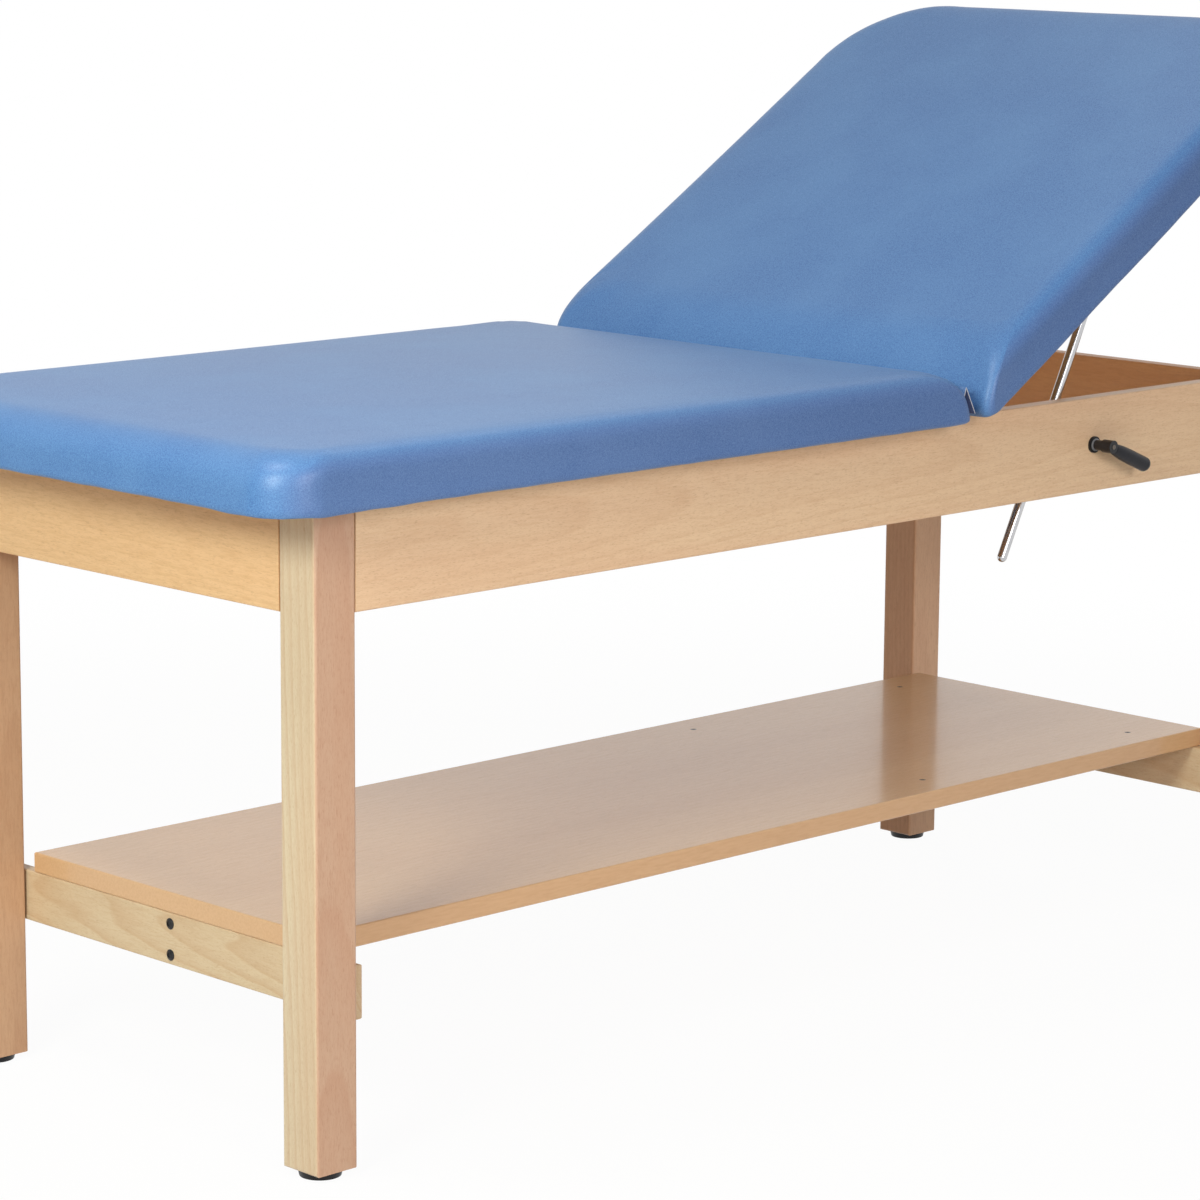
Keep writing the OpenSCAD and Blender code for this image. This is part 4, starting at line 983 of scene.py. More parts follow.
@dataclass
class Pad:
    """Foam pad in pulled vinyl over a board: crowned top, drawn-in sides, edges turned under.

    End 0 has the smaller length and end 1 the larger; one of them is the end at the gap.
    """

    name: str
    section: Section
    start: float
    end: float
    plan_r: tuple[float, float]
    low_r: tuple[float, float]
    up_r: tuple[float, float]
    board: tuple[float, float]
    board_r: tuple[float, float]
    gap_end: int
    half_w: float = 0.365
    thick: float = 0.062
    crown: float = 0.004
    draw: float = 0.0025
    low_edge: float = 0.005
    top_edge: float = 0.024
    board_half: float = 0.353
    board_t: float = 0.016
    swell: float = 0.0016
    sag: float = 0.0
    corner_cells: int = 10
    cells: tuple[int, int] = (62, 44)
    seed: int = 1

    def inset(self, height: float, low: float, up: float) -> float:
        """How far an edge has drawn in at a height.

        Args:
            height: Height above the pad's underside.
            low: Radius of its lower edge.
            up: Radius of its upper edge.

        Returns:
            The inset in metres.
        """
        under = low - math.sqrt(max(0.0, low**2 - (low - height) ** 2)) if height < low else 0.0
        over = height - (self.thick - up)
        return under + (up - math.sqrt(max(0.0, up**2 - over**2)) if over > 0 else 0.0)

    def corner(self, end: int, height: float) -> float:
        """Plan radius of the corners at one end and height."""
        grow = GROW_AT_GAP if end == self.gap_end else GROW_OPEN
        drawn = min(self.inset(height, 0.0, self.up_r[end]), self.inset(height, 0.0, self.top_edge))
        return max(MIN_CORNER, self.plan_r[end] + grow * drawn)

    def counts(self) -> tuple[int, int]:
        """Numbers of cells of the pad's grids along and across."""
        return self.cells[0] + 2 * self.corner_cells, self.cells[1] + 2 * self.corner_cells

    def sheet(
        self, x0: float, x1: float, half: float, r0: float, r1: float, draw: float
    ) -> np.ndarray:
        """Grid of points over a rounded rectangle, with its sides drawn in between the corners.

        Args:
            x0: Start of the rectangle.
            x1: End of the rectangle.
            half: Half its width.
            r0: Corner radius at the start.
            r1: Corner radius at the end.
            draw: How far the long sides are drawn in.

        Returns:
            An array of columns, rows and the two plan coordinates.
        """
        k = self.corner_cells
        nx, ny = self.counts()
        columns = np.concatenate(
            [
                x0 + r0 * np.linspace(0, 1, k + 1)[:-1],
                np.linspace(x0 + r0, x1 - r1, self.cells[0] + 1),
                x1 - r1 + r1 * np.linspace(0, 1, k + 1)[1:],
            ]
        )

        def rows(r: float) -> np.ndarray:
            """Row places for one corner radius."""
            lower = -half + r * np.linspace(0, 1, k + 1)[:-1]
            between = np.linspace(-half + r, half - r, self.cells[1] + 1)
            return np.concatenate([lower, between, -lower[::-1]])

        blend = np.clip((columns - (x0 + r0)) / ((x1 - r1) - (x0 + r0)), 0, 1)[:, None]
        grid = np.empty((nx + 1, ny + 1, 2))
        grid[:, :, 0] = columns[:, None]
        grid[:, :, 1] = (1 - blend) * rows(r0)[None, :] + blend * rows(r1)[None, :]
        for i in range(k + 1):
            for j in range(k + 1):
                a, b = 1 - i / k, 1 - j / k
                du, dv = a * math.sqrt(1 - b * b / 2), b * math.sqrt(1 - a * a / 2)
                for side, row in ((-1, j), (1, ny - j)):
                    grid[i, row] = x0 + r0 - r0 * du, side * (half - r0 + r0 * dv)
                    grid[nx - i, row] = x1 - r1 + r1 * du, side * (half - r1 + r1 * dv)
        middle = (x0 + x1) / 2
        s = (grid[:, :, 0] - x0) / (x1 - x0)
        t = (grid[:, :, 1] + half) / (2 * half)
        across = 1 - draw * 4 * s * (1 - s) / half
        along = 1 - draw * 4 * t * (1 - t) / (x1 - x0)
        grid[:, :, 1] *= across
        grid[:, :, 0] = middle + (grid[:, :, 0] - middle) * along
        return grid

    def outline(self, height: float) -> np.ndarray:
        """Grid over the pad's plan at one height."""
        i0 = self.inset(height, self.low_r[0], self.up_r[0])
        i1 = self.inset(height, self.low_r[1], self.up_r[1])
        side = self.inset(height, self.low_edge, self.top_edge)
        return self.sheet(
            self.start + i0,
            self.end - i1,
            self.half_w - side,
            self.corner(0, height),
            self.corner(1, height),
            self.draw * height / self.thick,
        )

    def border(self, grid: np.ndarray) -> np.ndarray:
        """Boundary of a grid as one closed loop of rows."""
        return np.concatenate([grid[:-1, 0], grid[-1, :-1], grid[:0:-1, -1], grid[0, :0:-1]])

    def border_index(self) -> list[int]:
        """Vertex numbers of a grid's boundary, in the order of border()."""
        nx, ny = self.counts()
        loop = [(i, 0) for i in range(nx)] + [(nx, j) for j in range(ny)]
        loop += [(i, ny) for i in range(nx, 0, -1)] + [(0, j) for j in range(ny, 0, -1)]
        return [i * (ny + 1) + j for i, j in loop]

    def heights(self) -> list[float]:
        """Heights of the rings from the underside to the edge of the top."""
        straight = self.thick - self.top_edge - self.low_edge
        wall = [self.low_edge + s * straight for s in WALL_RINGS]
        tops = [self.thick - self.top_edge + s * self.top_edge for s in TOP_RINGS]
        return [*LOW_RINGS, self.low_edge, *wall, *tops]

    def build(self) -> bpy.types.Object:
        """Builds the pad as one closed cover, open below only for its board.

        Returns:
            The pad, in place on the table.
        """
        rng = random.Random(self.seed)
        phases = [rng.uniform(0, 2 * math.pi) for _ in range(6)]
        board = self.sheet(self.board[0], self.board[1], self.board_half, *self.board_r, 0.0)
        nx, ny = self.counts()
        flat = board.reshape(-1, 2)
        parts = [np.column_stack([flat, np.full(len(flat), self.board_t)])]
        faces = self.grid_faces(nx, ny, 0)
        loop = self.border_index()
        last = list(loop)
        rings = [(self.border(board), 0.0)]
        rings += [(self.border(self.outline(h)), h) for h in self.heights()[:-1]]
        count = len(flat)
        for points, height in rings:
            z = np.full(len(points), height)
            points, z = self.tension(points, z, height, phases)
            parts.append(np.column_stack([points, z]))
            ring = list(range(count, count + len(points)))
            faces += self.band_faces(last, ring)
            count += len(points)
            last = ring
        top = self.outline(self.thick)
        s = 2 * (top[:, :, 0] - top[:, :, 0].min()) / np.ptp(top[:, :, 0]) - 1
        t = 2 * (top[:, :, 1] - top[:, :, 1].min()) / np.ptp(top[:, :, 1]) - 1
        bulge = [np.clip(1 - np.abs(a) ** CROWN_POWER, 0, 1) for a in (s, t)]
        rise = self.crown * bulge[0] * bulge[1]
        parts.append(np.column_stack([top.reshape(-1, 2), (self.thick + rise).reshape(-1)]))
        faces += self.grid_faces(nx, ny, count)
        faces += self.band_faces(last, [count + i for i in loop])
        points = self.section.place(np.concatenate(parts))
        piece = make_piece(self.name, points, faces)
        self.inflate(piece, len(flat) + 2 * len(loop))
        smoother = piece.modifiers.new("finer", "SUBSURF")
        smoother.levels = smoother.render_levels = 1
        log.info("%s: %d faces before subdivision", self.name, len(faces))
        return piece

    def tension(
        self, points: np.ndarray, z: np.ndarray, height: float, phases: list[float]
    ) -> tuple[np.ndarray, np.ndarray]:
        """Scallops the lower edge between staples and gathers it at the open corners.

        Args:
            points: Plan points of one ring.
            z: Heights of its points.
            height: Height of the ring.
            phases: Random phases of the waves.

        Returns:
            The moved plan points and heights.
        """
        if height <= 0.0:
            return points, z
        fade = math.exp(-height / PULL_FADE)
        step = np.linalg.norm(np.roll(points, -1, axis=0) - points, axis=1)
        run = np.concatenate([[0.0], np.cumsum(step)[:-1]])
        wave = sum(
            math.cos(p) * np.sin(run * 2 * math.pi / w + p) for p, w in zip(phases, PULL_WAVES)
        )
        middle = (self.start + self.end) / 2
        open_end = points[:, 0] < middle if self.gap_end == 1 else points[:, 0] > middle
        along = np.abs(points[:, 0] - (self.start if self.gap_end == 1 else self.end))
        r = self.plan_r[0 if self.gap_end == 1 else 1]
        in_corner = open_end & (along < r) & (np.abs(points[:, 1]) > self.half_w - r)
        pleat = np.where(np.arange(len(points)) % 2 == 0, 1.0, -1.0) * in_corner
        away = points - np.array([middle, 0.0])
        away /= np.linalg.norm(away, axis=1)[:, None]
        moved = points + away * (pleat * PLEAT * fade)[:, None]
        across = np.abs(points[:, 1])
        loose = np.where(open_end | (across > self.half_w - PULL_EDGE), fade, 0.0)
        droop = self.sag * np.clip(1 - (along - r) / SAG_RUN, 0.0, 1.0)
        droop = droop * np.clip((across - SAG_FROM) / SAG_OVER, 0, 1)
        return moved, z + (np.clip(wave, -1.0, 1.0) * PULL_DEPTH + PULL_MEAN - droop) * loose

    def grid_faces(self, nx: int, ny: int, first: int) -> Faces:
        """Quads of a grid whose first vertex has a given number."""
        w = ny + 1
        corners = [first + i * w + j for i in range(nx) for j in range(ny)]
        return [(at, at + w, at + w + 1, at + 1) for at in corners]

    def band_faces(self, lower: list[int], upper: list[int]) -> Faces:
        """Quads between two loops of vertices."""
        n = len(lower)
        return [(lower[i], lower[(i + 1) % n], upper[(i + 1) % n], upper[i]) for i in range(n)]

    def inflate(self, piece: bpy.types.Object, pinned: int) -> None:
        """Lets the foam push the cover out by a short cloth simulation, and applies the result.

        Args:
            piece: The pad.
            pinned: Number of leading vertices, under the board, that stay.
        """
        mesh = piece.data
        rest = np.empty(len(mesh.vertices) * 3)
        mesh.vertices.foreach_get("co", rest)
        rest = rest.reshape(-1, 3)
        group = piece.vertex_groups.new(name=HELD)
        group.add(list(range(pinned)), 1.0, "REPLACE")
        cloth = piece.modifiers.new("cover", "CLOTH")
        for key, value in CLOTH.items():
            setattr(cloth.settings, key, value)
        cloth.settings.effector_weights.gravity = 0.0
        scene = bpy.context.scene
        for frame in range(1, CLOTH_FRAMES + 1):
            scene.frame_set(frame)
        graph = bpy.context.evaluated_depsgraph_get()
        swollen = np.empty_like(rest).reshape(-1)
        piece.evaluated_get(graph).data.vertices.foreach_get("co", swollen)
        move = swollen.reshape(-1, 3) - rest
        piece.modifiers.remove(cloth)
        piece.vertex_groups.remove(group)
        scene.frame_set(1)
        local = self.unplace(rest)
        from_gap = np.abs(local[:, 0] - (self.start if self.gap_end == 0 else self.end))
        grown = np.clip((from_gap - SWELL_FROM) / SWELL_OVER, 0, 1)
        room = self.swell * (SWELL_AT_GAP + (1 - SWELL_AT_GAP) * grown)
        room *= np.clip(local[:, 2] / SWELL_RISE, 0, 1)
        size = np.linalg.norm(move, axis=1)
        move *= np.minimum(1.0, room / np.maximum(size, 1e-9))[:, None]
        mesh.vertices.foreach_set("co", (rest + move).reshape(-1))
        mesh.update()

    def unplace(self, points: np.ndarray) -> np.ndarray:
        """Brings points on the table back into the pad's own frame."""
        c, s = math.cos(self.section.tilt), math.sin(self.section.tilt)
        x, z = points[:, 0] - self.section.origin[0], points[:, 2] - self.section.origin[2]
        return np.stack([x * c + z * s, points[:, 1], z * c - x * s - self.section.lift], axis=1)


@dataclass
class Hem:
    """Vinyl edge turned under a board on its three open sides, and the staples that hold it."""

    pad: Pad
    width: float = 0.026
    thick: float = 0.0009
    lap: float = 0.0015
    step: float = 0.012
    corner_steps: int = 12
    end_gap: float = 0.035
    uneven: tuple[float, float, float] = (0.0015, 0.9, 0.0008)
    first_staple: float = 0.02
    staple_gap: float = 0.036
    staple: Point = (0.010, 0.0013, 0.0005)

    def path(self) -> tuple[np.ndarray, np.ndarray]:
        """Centre line of the board's edge round its open end.

        Returns:
            Points on the board's outline, and their inward directions.
        """
        pad = self.pad
        open_end = 1 - pad.gap_end
        r = pad.board_r[open_end]
        sign = 1 if open_end == 1 else -1
        tip = pad.board[open_end]
        stop = pad.board[pad.gap_end] + sign * self.end_gap
        half = pad.board_half
        straight = abs(tip - sign * r - stop)
        run = [stop + sign * i * self.step for i in range(int(straight / self.step) + 1)]
        spots, inward = [(x, -half) for x in run], [(0.0, 1.0)] * len(run)
        for side in (-1, 1):
            for i in range(self.corner_steps + 1):
                turned = i / self.corner_steps
                angle = math.pi / 2 * (turned if side < 0 else 1 - turned)
                out = (sign * math.sin(angle), side * math.cos(angle))
                spots.append((tip - sign * r + r * out[0], side * (half - r) + r * out[1]))
                inward.append((-out[0], -out[1]))
            if side < 0:
                steps = int((2 * half - 2 * r) / self.step)
                for i in range(1, steps):
                    spots.append((tip, -half + r + (2 * half - 2 * r) * i / steps))
                    inward.append((-sign, 0.0))
        spots += [(x, half) for x in reversed(run)]
        inward += [(0.0, -1.0)] * len(run)
        return np.array(spots), np.array(inward)

    def build(self, vinyl: bpy.types.Material, steel: bpy.types.Material, body: str) -> None:
        """Builds the turned edge and its staples.

        Args:
            vinyl: Material of the cover.
            steel: Material of the staples.
            body: Body that they ride on.
        """
        rng = random.Random(HEM_SEED + self.pad.seed)
        spots, inward = self.path()
        n = len(spots)
        deep, turns, ragged = self.uneven
        edge = [deep * math.sin(i * turns) + rng.uniform(-ragged, ragged) for i in range(n)]
        cut = self.width + np.array(edge)
        outer = spots - inward * self.lap
        inner = spots + inward * cut[:, None]
        rows = [(outer, 0.0), (outer, -self.thick), (inner, -self.thick * 0.8), (inner, 0.0)]
        points = np.concatenate([np.column_stack([p, np.full(n, z)]) for p, z in rows])
        faces = [
            (a * n + i, a * n + i + 1, b * n + i + 1, b * n + i)
            for a, b in ((0, 1), (1, 2), (2, 3), (3, 0))
            for i in range(n - 1)
        ]
        faces += [(0, n, 2 * n, 3 * n), (4 * n - 1, 3 * n - 1, 2 * n - 1, n - 1)]
        placed = self.pad.section.place(points)
        hem = make_piece(f"{self.pad.name}_hem", placed, faces, smooth=False)
        settle(hem, vinyl, body)
        self.staples(spots, inward, steel, body, rng)

    def staples(
        self,
        spots: np.ndarray,
        inward: np.ndarray,
        steel: bpy.types.Material,
        body: str,
        rng: random.Random,
    ) -> None:
        """Builds the row of staples as bent wires with rounded shoulders.

        Args:
            spots: Points on the board's edge.
            inward: Inward direction at each point.
            steel: Their material.
            body: Body that they ride on.
            rng: Source of small random turns.
        """
        length, wide, high = self.staple
        end, bend = length / 2, length / 2 - SHOULDER
        profile = [(-end, 0.0), (-bend, -high), (bend, -high), (end, 0.0)]
        points, faces = [], []
        run, due = 0.0, self.first_staple
        for i in range(1, len(spots) - 1):
            run += float(np.linalg.norm(spots[i] - spots[i - 1]))
            if run < due:
                continue
            due += self.staple_gap * rng.uniform(*STAPLE_SPREAD)
            along = spots[i + 1] - spots[i - 1]
            along /= np.linalg.norm(along)
            angle = rng.uniform(-STAPLE_TURN, STAPLE_TURN)
            c, s = math.cos(angle), math.sin(angle)
            along = np.array([along[0] * c - along[1] * s, along[0] * s + along[1] * c])
            side = np.array([-along[1], along[0]])
            middle = spots[i] + inward[i] * (self.width * rng.uniform(*STAPLE_PLACE))
            base = len(points)
            for place, drop in profile:
                for shift in (-wide / 2, wide / 2):
                    plan = middle + along * place + side * shift
                    points.append((plan[0], plan[1], drop - self.thick * 0.9))
            faces += [(base + k, base + k + 1, base + k + 3, base + k + 2) for k in (0, 2, 4)]
            ends = ((0, 2, 4, 6), (1, 7, 5, 3), (0, 6, 7, 1))
            faces += [tuple(base + k for k in corners) for corners in ends]
        placed = self.pad.section.place(np.array(points))
        piece = make_piece(f"{self.pad.name}_staples", placed, faces, smooth=False)
        settle(piece, steel, body)


@dataclass
class GapFlap:
    """Vinyl strip over the gap between the two pads, folded like a roof and glued to both pads."""

    foot: tuple[float, float] = (0.1818, 0.7245)
    ridge: tuple[float, float] = (0.1890, 0.7460)
    back: tuple[float, float] = (0.2062, 0.7136)
    half: float = 0.346
    flat_w: float = 0.060
    thick: float = 0.0012
    rows: int = 58
    seed: int = 7

    def section(self) -> list[tuple[float, float]]:
        """Outer line of the strip's cross section, with a rounded ridge."""

        def between(a: tuple[float, float], b: tuple[float, float], share: float) -> tuple:
            """Point between two others."""
            return tuple(p + (q - p) * share for p, q in zip(a, b))

        side = [i / SIDE_STEPS * (1 - RIDGE_SHARE) for i in range(SIDE_STEPS + 1)]
        up = [between(self.foot, self.ridge, s) for s in side]
        down = [between(self.ridge, self.back, RIDGE_SHARE + s) for s in side]
        top = []
        for i in range(1, SIDE_STEPS):
            t = i / SIDE_STEPS
            weights = ((1 - t) ** 2, 2 * t * (1 - t), t * t)
            corners = zip(up[-1], self.ridge, down[0])
            top.append(tuple(sum(w * c for w, c in zip(weights, parts)) for parts in corners))
        return up + top + down

    def build(
        self, vinyl: bpy.types.Material, underside: bpy.types.Material, cut: bpy.types.Material
    ) -> bpy.types.Object:
        """Builds the strip in place between the table and the backrest.

        Args:
            vinyl: Material of its outer side.
            underside: Material of its reverse, painted dark blue as shade.
            cut: Material of its cut ends.

        Returns:
            The strip.
        """
        rng = random.Random(self.seed)
        outer = np.array(self.section())
        step = np.gradient(outer, axis=0)
        step /= np.linalg.norm(step, axis=1)[:, None]
        inner = outer + np.stack([step[:, 1], -step[:, 0]], axis=1) * self.thick
        loop = np.concatenate([outer, inner[::-1]])
        n, m = len(outer), len(loop)
        points, faces, side = [], [], []
        for j in range(self.rows + 1):
            share = j / self.rows
            y = -self.half + 2 * self.half * share
            lift = sum(deep * math.sin(share * turns + start) for deep, turns, start in RIPPLES)
            lift += rng.uniform(-RIPPLE_NOISE, RIPPLE_NOISE)
            for k, (x, z) in enumerate(loop):
                near_ridge = 1 - abs((k if k < n else m - 1 - k) / (n - 1) * 2 - 1)
                points.append((x, y, z + lift * near_ridge))
        for j in range(self.rows):
            for k in range(m):
                at, beside = j * m + k, j * m + (k + 1) % m
                faces.append((at, beside, beside + m, at + m))
                side.append(1 if k >= n - 1 else 0)
        for base in (0, self.rows * m):
            for k in range(n - 1):
                faces.append((base + k, base + k + 1, base + m - 2 - k, base + m - 1 - k))
                side.append(2)
        strip = make_piece("gap_strip", np.array(points), faces)
        for material in (vinyl, underside, cut):
            strip.data.materials.append(material)
        strip.data.polygons.foreach_set("material_index", side)
        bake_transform(strip)
        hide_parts("gap_flap")
        return strip


@dataclass
class Upholstery:
    """Foot pad, backrest pad, their turned edges and the strip over the gap."""

    rail_top: float = 0.705
    hinge: Point = (0.217, 0.0, 0.700)
    tilt: float = math.radians(32)
    back_lift: float = 0.0054

    def pads(self) -> tuple[Pad, Pad]:
        """Sizes and places of the two pads.

        Returns:
            The foot pad and the backrest pad.
        """
        foot = Pad(
            "foot_pad",
            Section((0.0, 0.0, self.rail_top)),
            start=-0.850,
            end=0.185,
            plan_r=(0.060, 0.015),
            low_r=(0.005, 0.0053),
            up_r=(0.040, 0.065),
            board=(-0.838, 0.173),
            board_r=(0.048, 0.0075),
            gap_end=1,
            sag=0.003,
            seed=3,
        )
        back = Pad(
            "back_pad",
            Section(self.hinge, self.tilt, self.back_lift),
            start=-0.028,
            end=0.750,
            plan_r=(0.015, 0.140),
            low_r=(0.022, 0.005),
            up_r=(0.125, 0.024),
            board=(0.02864, 0.738),
            board_r=(0.0075, 0.128),
            gap_end=0,
            cells=(44, 44),
            seed=5,
        )
        return foot, back

    def build(self) -> None:
        """Builds and dresses everything that is upholstered."""
        vinyl = Vinyl().build("vinyl_cover")
        strip = Vinyl(colour=screen(86, 124, 172)).build("vinyl_gap_strip")
        steel = ZINC.build("staple_wire")
        places = (("table", "foot_cushion"), ("back", "back_cushion"))
        for pad, (body, node) in zip(self.pads(), places):
            piece = pad.build()
            settle(piece, vinyl, body, node)
            Hem(pad).build(vinyl, steel, body)
            log.info("%s rides on %s", pad.name, body)
        GapFlap().build(strip, SHADED_UNDERSIDE.build("strip_underside_painted_shade"), CUT_EDGE.build("strip_cut_edge"))
        log.info("gap strip bends between table and back")


# Fasteners

# Seed of the turns of the bolts that face both ways
PAIR_SEED = 11
# Deepest recess, the rise of its floor at the wall, and the least drop of a domed rim
RECESS_DEPTH, RECESS_LIFT, RIM_DROP = 0.0016, 0.0002, 0.00015
# Where the rings lie between the recess and the rim
HEAD_RINGS = (0.35, 0.65, 0.88, 0.97)


class Drive(Enum):
    """Recess in a fastener's head."""

    CROSS = "cross"
    HEX = "hex"

    def reach(self, angle: float, size: float) -> float:
        """Distance from the axis to the recess's wall.

        Args:
            angle: Direction in radians.
            size: Half the recess's width.

        Returns:
            The distance in metres.
        """
        if self is Drive.HEX:
            turn = angle % (math.pi / 3) - math.pi / 6
            return size / math.cos(turn)
        turn = (angle + math.pi / 4) % (math.pi / 2) - math.pi / 4
        arm = size / math.cos(turn)
        return min(arm, 0.26 * size / max(abs(math.sin(turn)), 1e-6))


@dataclass
class Fastener:
    """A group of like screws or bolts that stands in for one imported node."""

    node: str
    body: str
    slot: str
    outward: Point
    drive: Drive
    shank_d: float
    head_t: float
    dome: float = 0.0
    recess: float = 0.3
    both_ways: bool = False
    points: int = 48

    def islands(self, node: bpy.types.Object) -> list[np.ndarray]:
        """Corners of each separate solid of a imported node.

        Args:
            node: The node's object.

        Returns:
            The vertices of each solid.
        """
        mesh = node.data
        spots = np.empty(len(mesh.vertices) * 3)
        mesh.vertices.foreach_get("co", spots)
        spots = spots.reshape(-1, 3)
        _, same = np.unique(np.round(spots, 6), axis=0, return_inverse=True)
        same = same.reshape(-1)
        parent = list(range(int(same.max()) + 1))

        def root(i: int) -> int:
            """Representative of a vertex's solid."""
            while parent[i] != i:
                parent[i] = parent[parent[i]]
                i = parent[i]
            return i

        for edge in mesh.edges:
            a, b = root(int(same[edge.vertices[0]])), root(int(same[edge.vertices[1]]))
            parent[a] = b
        groups: dict[int, list[int]] = {}
        for index, key in enumerate(same):
            groups.setdefault(root(int(key)), []).append(index)
        return [spots[g] for g in groups.values()]

    def one(self, solid: np.ndarray, turn: float) -> tuple[np.ndarray, Faces]:
        """Points and faces of one fastener in place of a solid.

        Args:
            solid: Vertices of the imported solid.
            turn: Turn of its recess in radians.

        Returns:
            Vertices and faces.
        """
        axis = np.array(self.outward) / np.linalg.norm(self.outward)
        other = np.array([0.0, 1.0, 0.0]) if abs(axis[1]) < 0.9 else np.array([1.0, 0.0, 0.0])
        side = np.cross(axis, other)
        side /= np.linalg.norm(side)
        up = np.cross(axis, side)
        along = solid @ axis
        top, bottom = along.max(), along.min()
        head = solid[along > top - self.head_t - 1e-4]
        centre = (head.max(axis=0) + head.min(axis=0)) / 2
        out = (head - centre) - np.outer((head - centre) @ axis, axis)
        radius = np.linalg.norm(out, axis=1).max()
        base = centre - axis * (centre @ axis)
        size = self.recess * radius * 2
        under = top - self.head_t
        pit = top - min(0.6 * self.head_t, RECESS_DEPTH)
        angles = [2 * math.pi * i / self.points for i in range(self.points)]
        wall = [self.drive.reach(a + turn, size) for a in angles]
        rings: list[tuple[list[float], float]] = []
        rings.append(([0.25 * w for w in wall], pit - RECESS_LIFT))
        rings.append(([0.94 * w for w in wall], pit))
        rings.append((wall, self.level(max(wall) / radius, top, under)))
        widest = max(wall)
        for share in HEAD_RINGS:
            r = [w + (radius - w) * share for w in wall]
            rings.append((r, self.level((widest + (radius - widest) * share) / radius, top, under)))
        rim = self.level(1.0, top, under)
        rings.append(([radius] * self.points, min(rim, top - RIM_DROP)))
        rings.append(([radius] * self.points, under))
        rings.append(([self.shank_d / 2] * self.points, under))
        rings.append(([self.shank_d / 2] * self.points, bottom))
        rows = []
        for radii, height in rings:
            for a, r in zip(angles, radii):
                rows.append(base + axis * height + (side * math.cos(a) + up * math.sin(a)) * r)
        n = self.points
        faces = [
            (k * n + i, k * n + (i + 1) % n, (k + 1) * n + (i + 1) % n, (k + 1) * n + i)
            for k in range(len(rings) - 1)
            for i in range(n)
        ]
        faces.append(tuple(range(n)))
        faces.append(tuple(len(rows) - 1 - i for i in range(n)))
        return np.array(rows), faces

    def level(self, share: float, top: float, under: float) -> float:
        """Height of the head's surface at a share of its radius."""
        if self.dome <= 0:
            return top
        return top - (top - under) * self.dome * share**2

    def build(self, node: bpy.types.Object, material: bpy.types.Material) -> None:
        """Builds the group and lets it stand for its node.

        Args:
            node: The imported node.
            material: Finish of the fasteners.
        """
        rng = random.Random(PAIR_SEED if self.both_ways else len(self.node))
        solids = self.islands(node)
        middle = np.mean([solid[:, 0].mean() for solid in solids])
        points, faces, count = [], [], 0
        for solid in solids:
            maker = self
            if self.both_ways and solid[:, 0].mean() >= middle:
                maker = replace(self, outward=(-self.outward[0], 0, 0))
            rows, own = maker.one(solid, rng.uniform(0, math.pi))
            points.append(rows)
            faces += [tuple(i + count for i in face) for face in own]
            count += len(rows)
        piece = make_piece(f"{self.node}_set", np.concatenate(points), faces, smooth=False)
        settle(piece, material, self.body, self.node)
        log.info("%s: %d fasteners", piece.name, len(points))


def fasteners(tilt: float) -> list[tuple[Fastener, Metal]]:
    """All the groups of screws and bolts whose heads show.

    Args:
        tilt: Angle of the backrest in radians.

    Returns:
        Each group with its finish.
    """
    down_back = (math.sin(tilt), 0.0, -math.cos(tilt))
    screw = Metal(screen(120, 112, 104), screen(70, 64, 58), 0.36)
    cross, six, thin, thick = Drive.CROSS, Drive.HEX, (0.004, 0.0016), (0.005, 0.002)
    return [
        (Fastener("shelf_screws", "table", "zinc", UP, cross, *thin), screw),
        (Fastener("foot_board_screws", "table", "zinc", DOWN, cross, *thick), ZINC),
        (Fastener("hinge_screws_frame", "table", "zinc", ALONG, cross, *thin, 0.5), ZINC),
        (Fastener("hinge_screws_back", "back", "zinc", down_back, cross, *thin, 0.5), ZINC),
        (Fastener("rod_bracket_screws", "back", "zinc", down_back, cross, *thin, 0.5), ZINC),
        (Fastener("clamp_bearing_screws", "table", "zinc", ACROSS, cross, *thin, 0.5), ZINC),
        (Fastener("glide_screws", "table", "zinc", DOWN, cross, *thick), ZINC),
        (Fastener("lever_screw", "lever", "zinc", NEARWARD, six, 0.004, 0.0012, 0.4), screw),
    ]


def paired_bolts() -> list[tuple[Fastener, Metal]]:
    """Groups whose heads face both ways along the table.

    Returns:
        Each group with its finish.
    """
    six, head = Drive.HEX, (0.8, 0.22, True)
    black = Fastener("stretcher_bolts", "table", "black_steel", FOOTWARD, six, 0.006, 0.003, *head)
    zinc = Fastener("lower_rail_bolts", "table", "zinc", ALONG, six, 0.006, 0.0035, *head)
    return [(black, BLACK_STEEL), (zinc, ZINC)]


# Studio


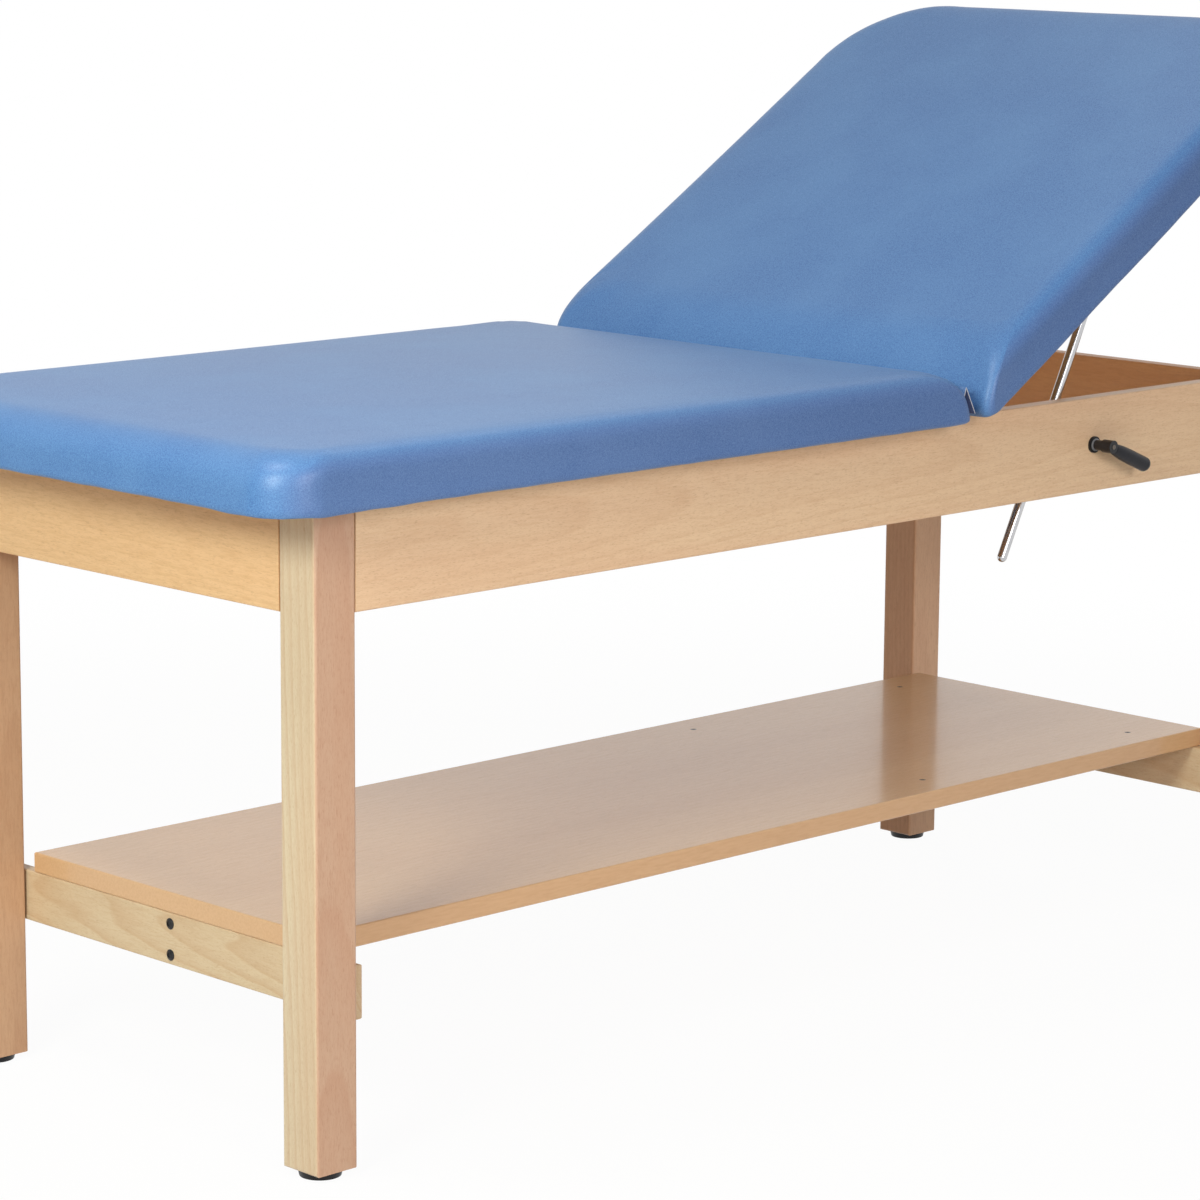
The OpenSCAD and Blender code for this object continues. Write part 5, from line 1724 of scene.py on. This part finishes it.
@dataclass
class Studio:
    """Pale floor, soft lamps, white surround and the camera."""

    floor_r: float = 60.0
    fade_r: tuple[float, float] = (1.4, 3.0)
    flag_foot: tuple[Point, Point] = ((-4.6, -0.2, 0.0), (-3.9, 2.2, 0.0))
    flag_h: float = 4.0
    lens: float = 123.42
    position: Point = (-3.3830, -3.3900, 1.3608)
    right: Point = (0.71467, -0.69943, 0.00723)
    down: Point = (-0.12239, -0.13522, -0.98323)
    forward: Point = (0.68867, 0.70180, -0.18224)
    fill: float = 0.22
    near_white: float = 0.96
    lamps: tuple[tuple[str, Point, Point, float, float, Colour], ...] = (
        ("end_softbox", (-3.0, -1.0, 1.9), (-0.8, -0.1, 0.6), 1.0, 66.0, (0.92, 1.0, 0.95)),
        ("front_softbox", (-1.1, -3.5, 1.7), (-0.1, 0.0, 0.6), 1.4, 55.0, (1.0, 0.95, 0.95)),
        ("foot_top_softbox", (-1.6, 0.0, 3.1), (-0.5, 0.0, 0.7), 0.6, 26.0, (1.0, 1.0, 1.0)),
        ("head_top_softbox", (1.6, 0.8, 3.4), (0.2, 0.0, 0.7), 1.6, 8.0, (1.0, 0.99, 0.97)),
        ("rear_softbox", (2.7, 3.3, 1.5), (0.0, 0.0, 0.6), 1.8, 30.0, (1.0, 0.99, 0.98)),
    )

    unmirrored: tuple[str, ...] = ("rear_softbox",)

    def camera(self) -> None:
        """Places the camera at the photograph's point of view."""
        data = bpy.data.cameras.new("camera")
        data.lens = self.lens
        data.sensor_width = 36.0
        data.clip_end = 200.0
        camera = bpy.data.objects.new("camera", data)
        right, up, back = Vector(self.right), -Vector(self.down), -Vector(self.forward)
        turn = Matrix((right, up, back)).transposed()
        camera.matrix_world = Matrix.Translation(self.position) @ turn.to_4x4()
        bpy.context.scene.collection.objects.link(camera)
        bpy.context.scene.camera = camera

    def seen(self, g: Graph) -> Sock:
        """1 for rays from the camera, mirrors and glass, 0 for light that falls on things."""
        camera, glossy, through = (
            g.add("ShaderNodeLightPath", output=f"Is {kind} Ray")
            for kind in ("Camera", "Glossy", "Transmission")
        )
        return camera.larger(glossy).larger(through)

    def surround(self) -> None:
        """White surround for what is seen, softer light for what is lit."""
        world = bpy.data.worlds.new("surround")
        bpy.context.scene.world = world
        world.use_nodes = True
        g = Graph("surround_maths")
        bpy.data.materials.remove(g.material)
        g.tree = world.node_tree
        g.tree.nodes.clear()
        lit = g.add("ShaderNodeBackground", sockets={"Color": WHITE, "Strength": self.fill})
        white = g.add("ShaderNodeBackground", sockets={"Color": WHITE, "Strength": 1.0})
        both = g.add("ShaderNodeMixShader", sockets={0: self.seen(g), 1: lit, 2: white})
        node = g.tree.nodes.new("ShaderNodeOutputWorld")
        g.tree.links.new(both.socket, node.inputs["Surface"])

    def floor(self) -> None:
        """Pale floor that keeps the table's soft shadow and fades to white."""
        n = 96
        ring = [(math.cos(2 * math.pi * i / n), math.sin(2 * math.pi * i / n)) for i in range(n)]
        radii = (self.fade_r[1], self.floor_r)
        points = [(0.0, 0.0, 0.0)] + [(r * x, r * y, 0.0) for r in radii for x, y in ring]
        faces = [(0, 1 + i, 1 + (i + 1) % n) for i in range(n)]
        faces += [(1 + i, 1 + n + i, 1 + n + (i + 1) % n, 1 + (i + 1) % n) for i in range(n)]
        floor = make_piece("studio_floor", np.array(points), faces)
        g = Graph("pale_floor")
        distance = g.vector("LENGTH", g.place(), output=1)
        far = distance.smooth(*self.fade_r)
        share = self.seen(g) * (self.near_white + (1 - self.near_white) * far)
        matt = g.add("ShaderNodeBsdfDiffuse", sockets={"Color": screen(228, 221, 212)})
        white = g.add("ShaderNodeEmission", sockets={"Color": WHITE, "Strength": 1.0})
        g.add_output(g.add("ShaderNodeMixShader", sockets={0: share, 1: matt, 2: white}))
        paint(floor, g.material)

    def flag(self) -> None:
        """Dark studio wall to the far left that only shows in polished metal."""
        top = [(x, y, self.flag_h) for x, y, _ in reversed(self.flag_foot)]
        points = np.array([*self.flag_foot, *top])
        flag = make_piece("studio_flag", points, [(0, 1, 2, 3)], smooth=False)
        g = Graph("dark_flag")
        shade = g.noise(g.place(), 2, 2.0)
        colour = g.mix(shade, screen(28, 28, 30), screen(44, 44, 46))
        g.add_output(g.add("ShaderNodeBsdfDiffuse", sockets={"Color": colour}))
        paint(flag, g.material)
        for kind in ("camera", "diffuse", "shadow", "transmission"):
            setattr(flag, f"visible_{kind}", False)

    def lights(self) -> None:
        """Large soft lamps that light the object at a plain level."""
        for name, position, target, size, power, colour in self.lamps:
            data = bpy.data.lights.new(name, "AREA")
            data.shape = "DISK"
            data.size = size
            data.energy = power
            data.color = colour
            lamp = bpy.data.objects.new(name, data)
            lamp.location = position
            lamp.visible_glossy = name not in self.unmirrored
            away = Vector(position) - Vector(target)
            lamp.rotation_euler = away.to_track_quat("Z", "Y").to_euler()
            bpy.context.scene.collection.objects.link(lamp)

    def build(self) -> None:
        """Sets up the whole studio."""
        self.camera()
        self.surround()
        self.floor()
        self.flag()
        self.lights()
        bpy.context.scene.view_settings.view_transform = "Standard"
        log.info("studio, %d lamps and camera are in place", len(self.lamps))


def main() -> None:
    """Builds the table's looks in order."""
    logging.basicConfig(level=logging.INFO, format="%(message)s")
    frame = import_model()
    Studio().build()
    Joinery().dress(frame["nodes"])
    upholstery = Upholstery()
    upholstery.build()
    finishes: dict[Metal, bpy.types.Material] = {}
    for group, finish in fasteners(upholstery.tilt):
        if finish not in finishes:
            finishes[finish] = finish.build(f"screw_{len(finishes)}")
        group.build(frame["nodes"][group.node], finishes[finish])
    for group, finish in paired_bolts():
        group.build(frame["nodes"][group.node], finish.build(f"finish_{group.node}"))


if __name__ == "__main__":
    main()
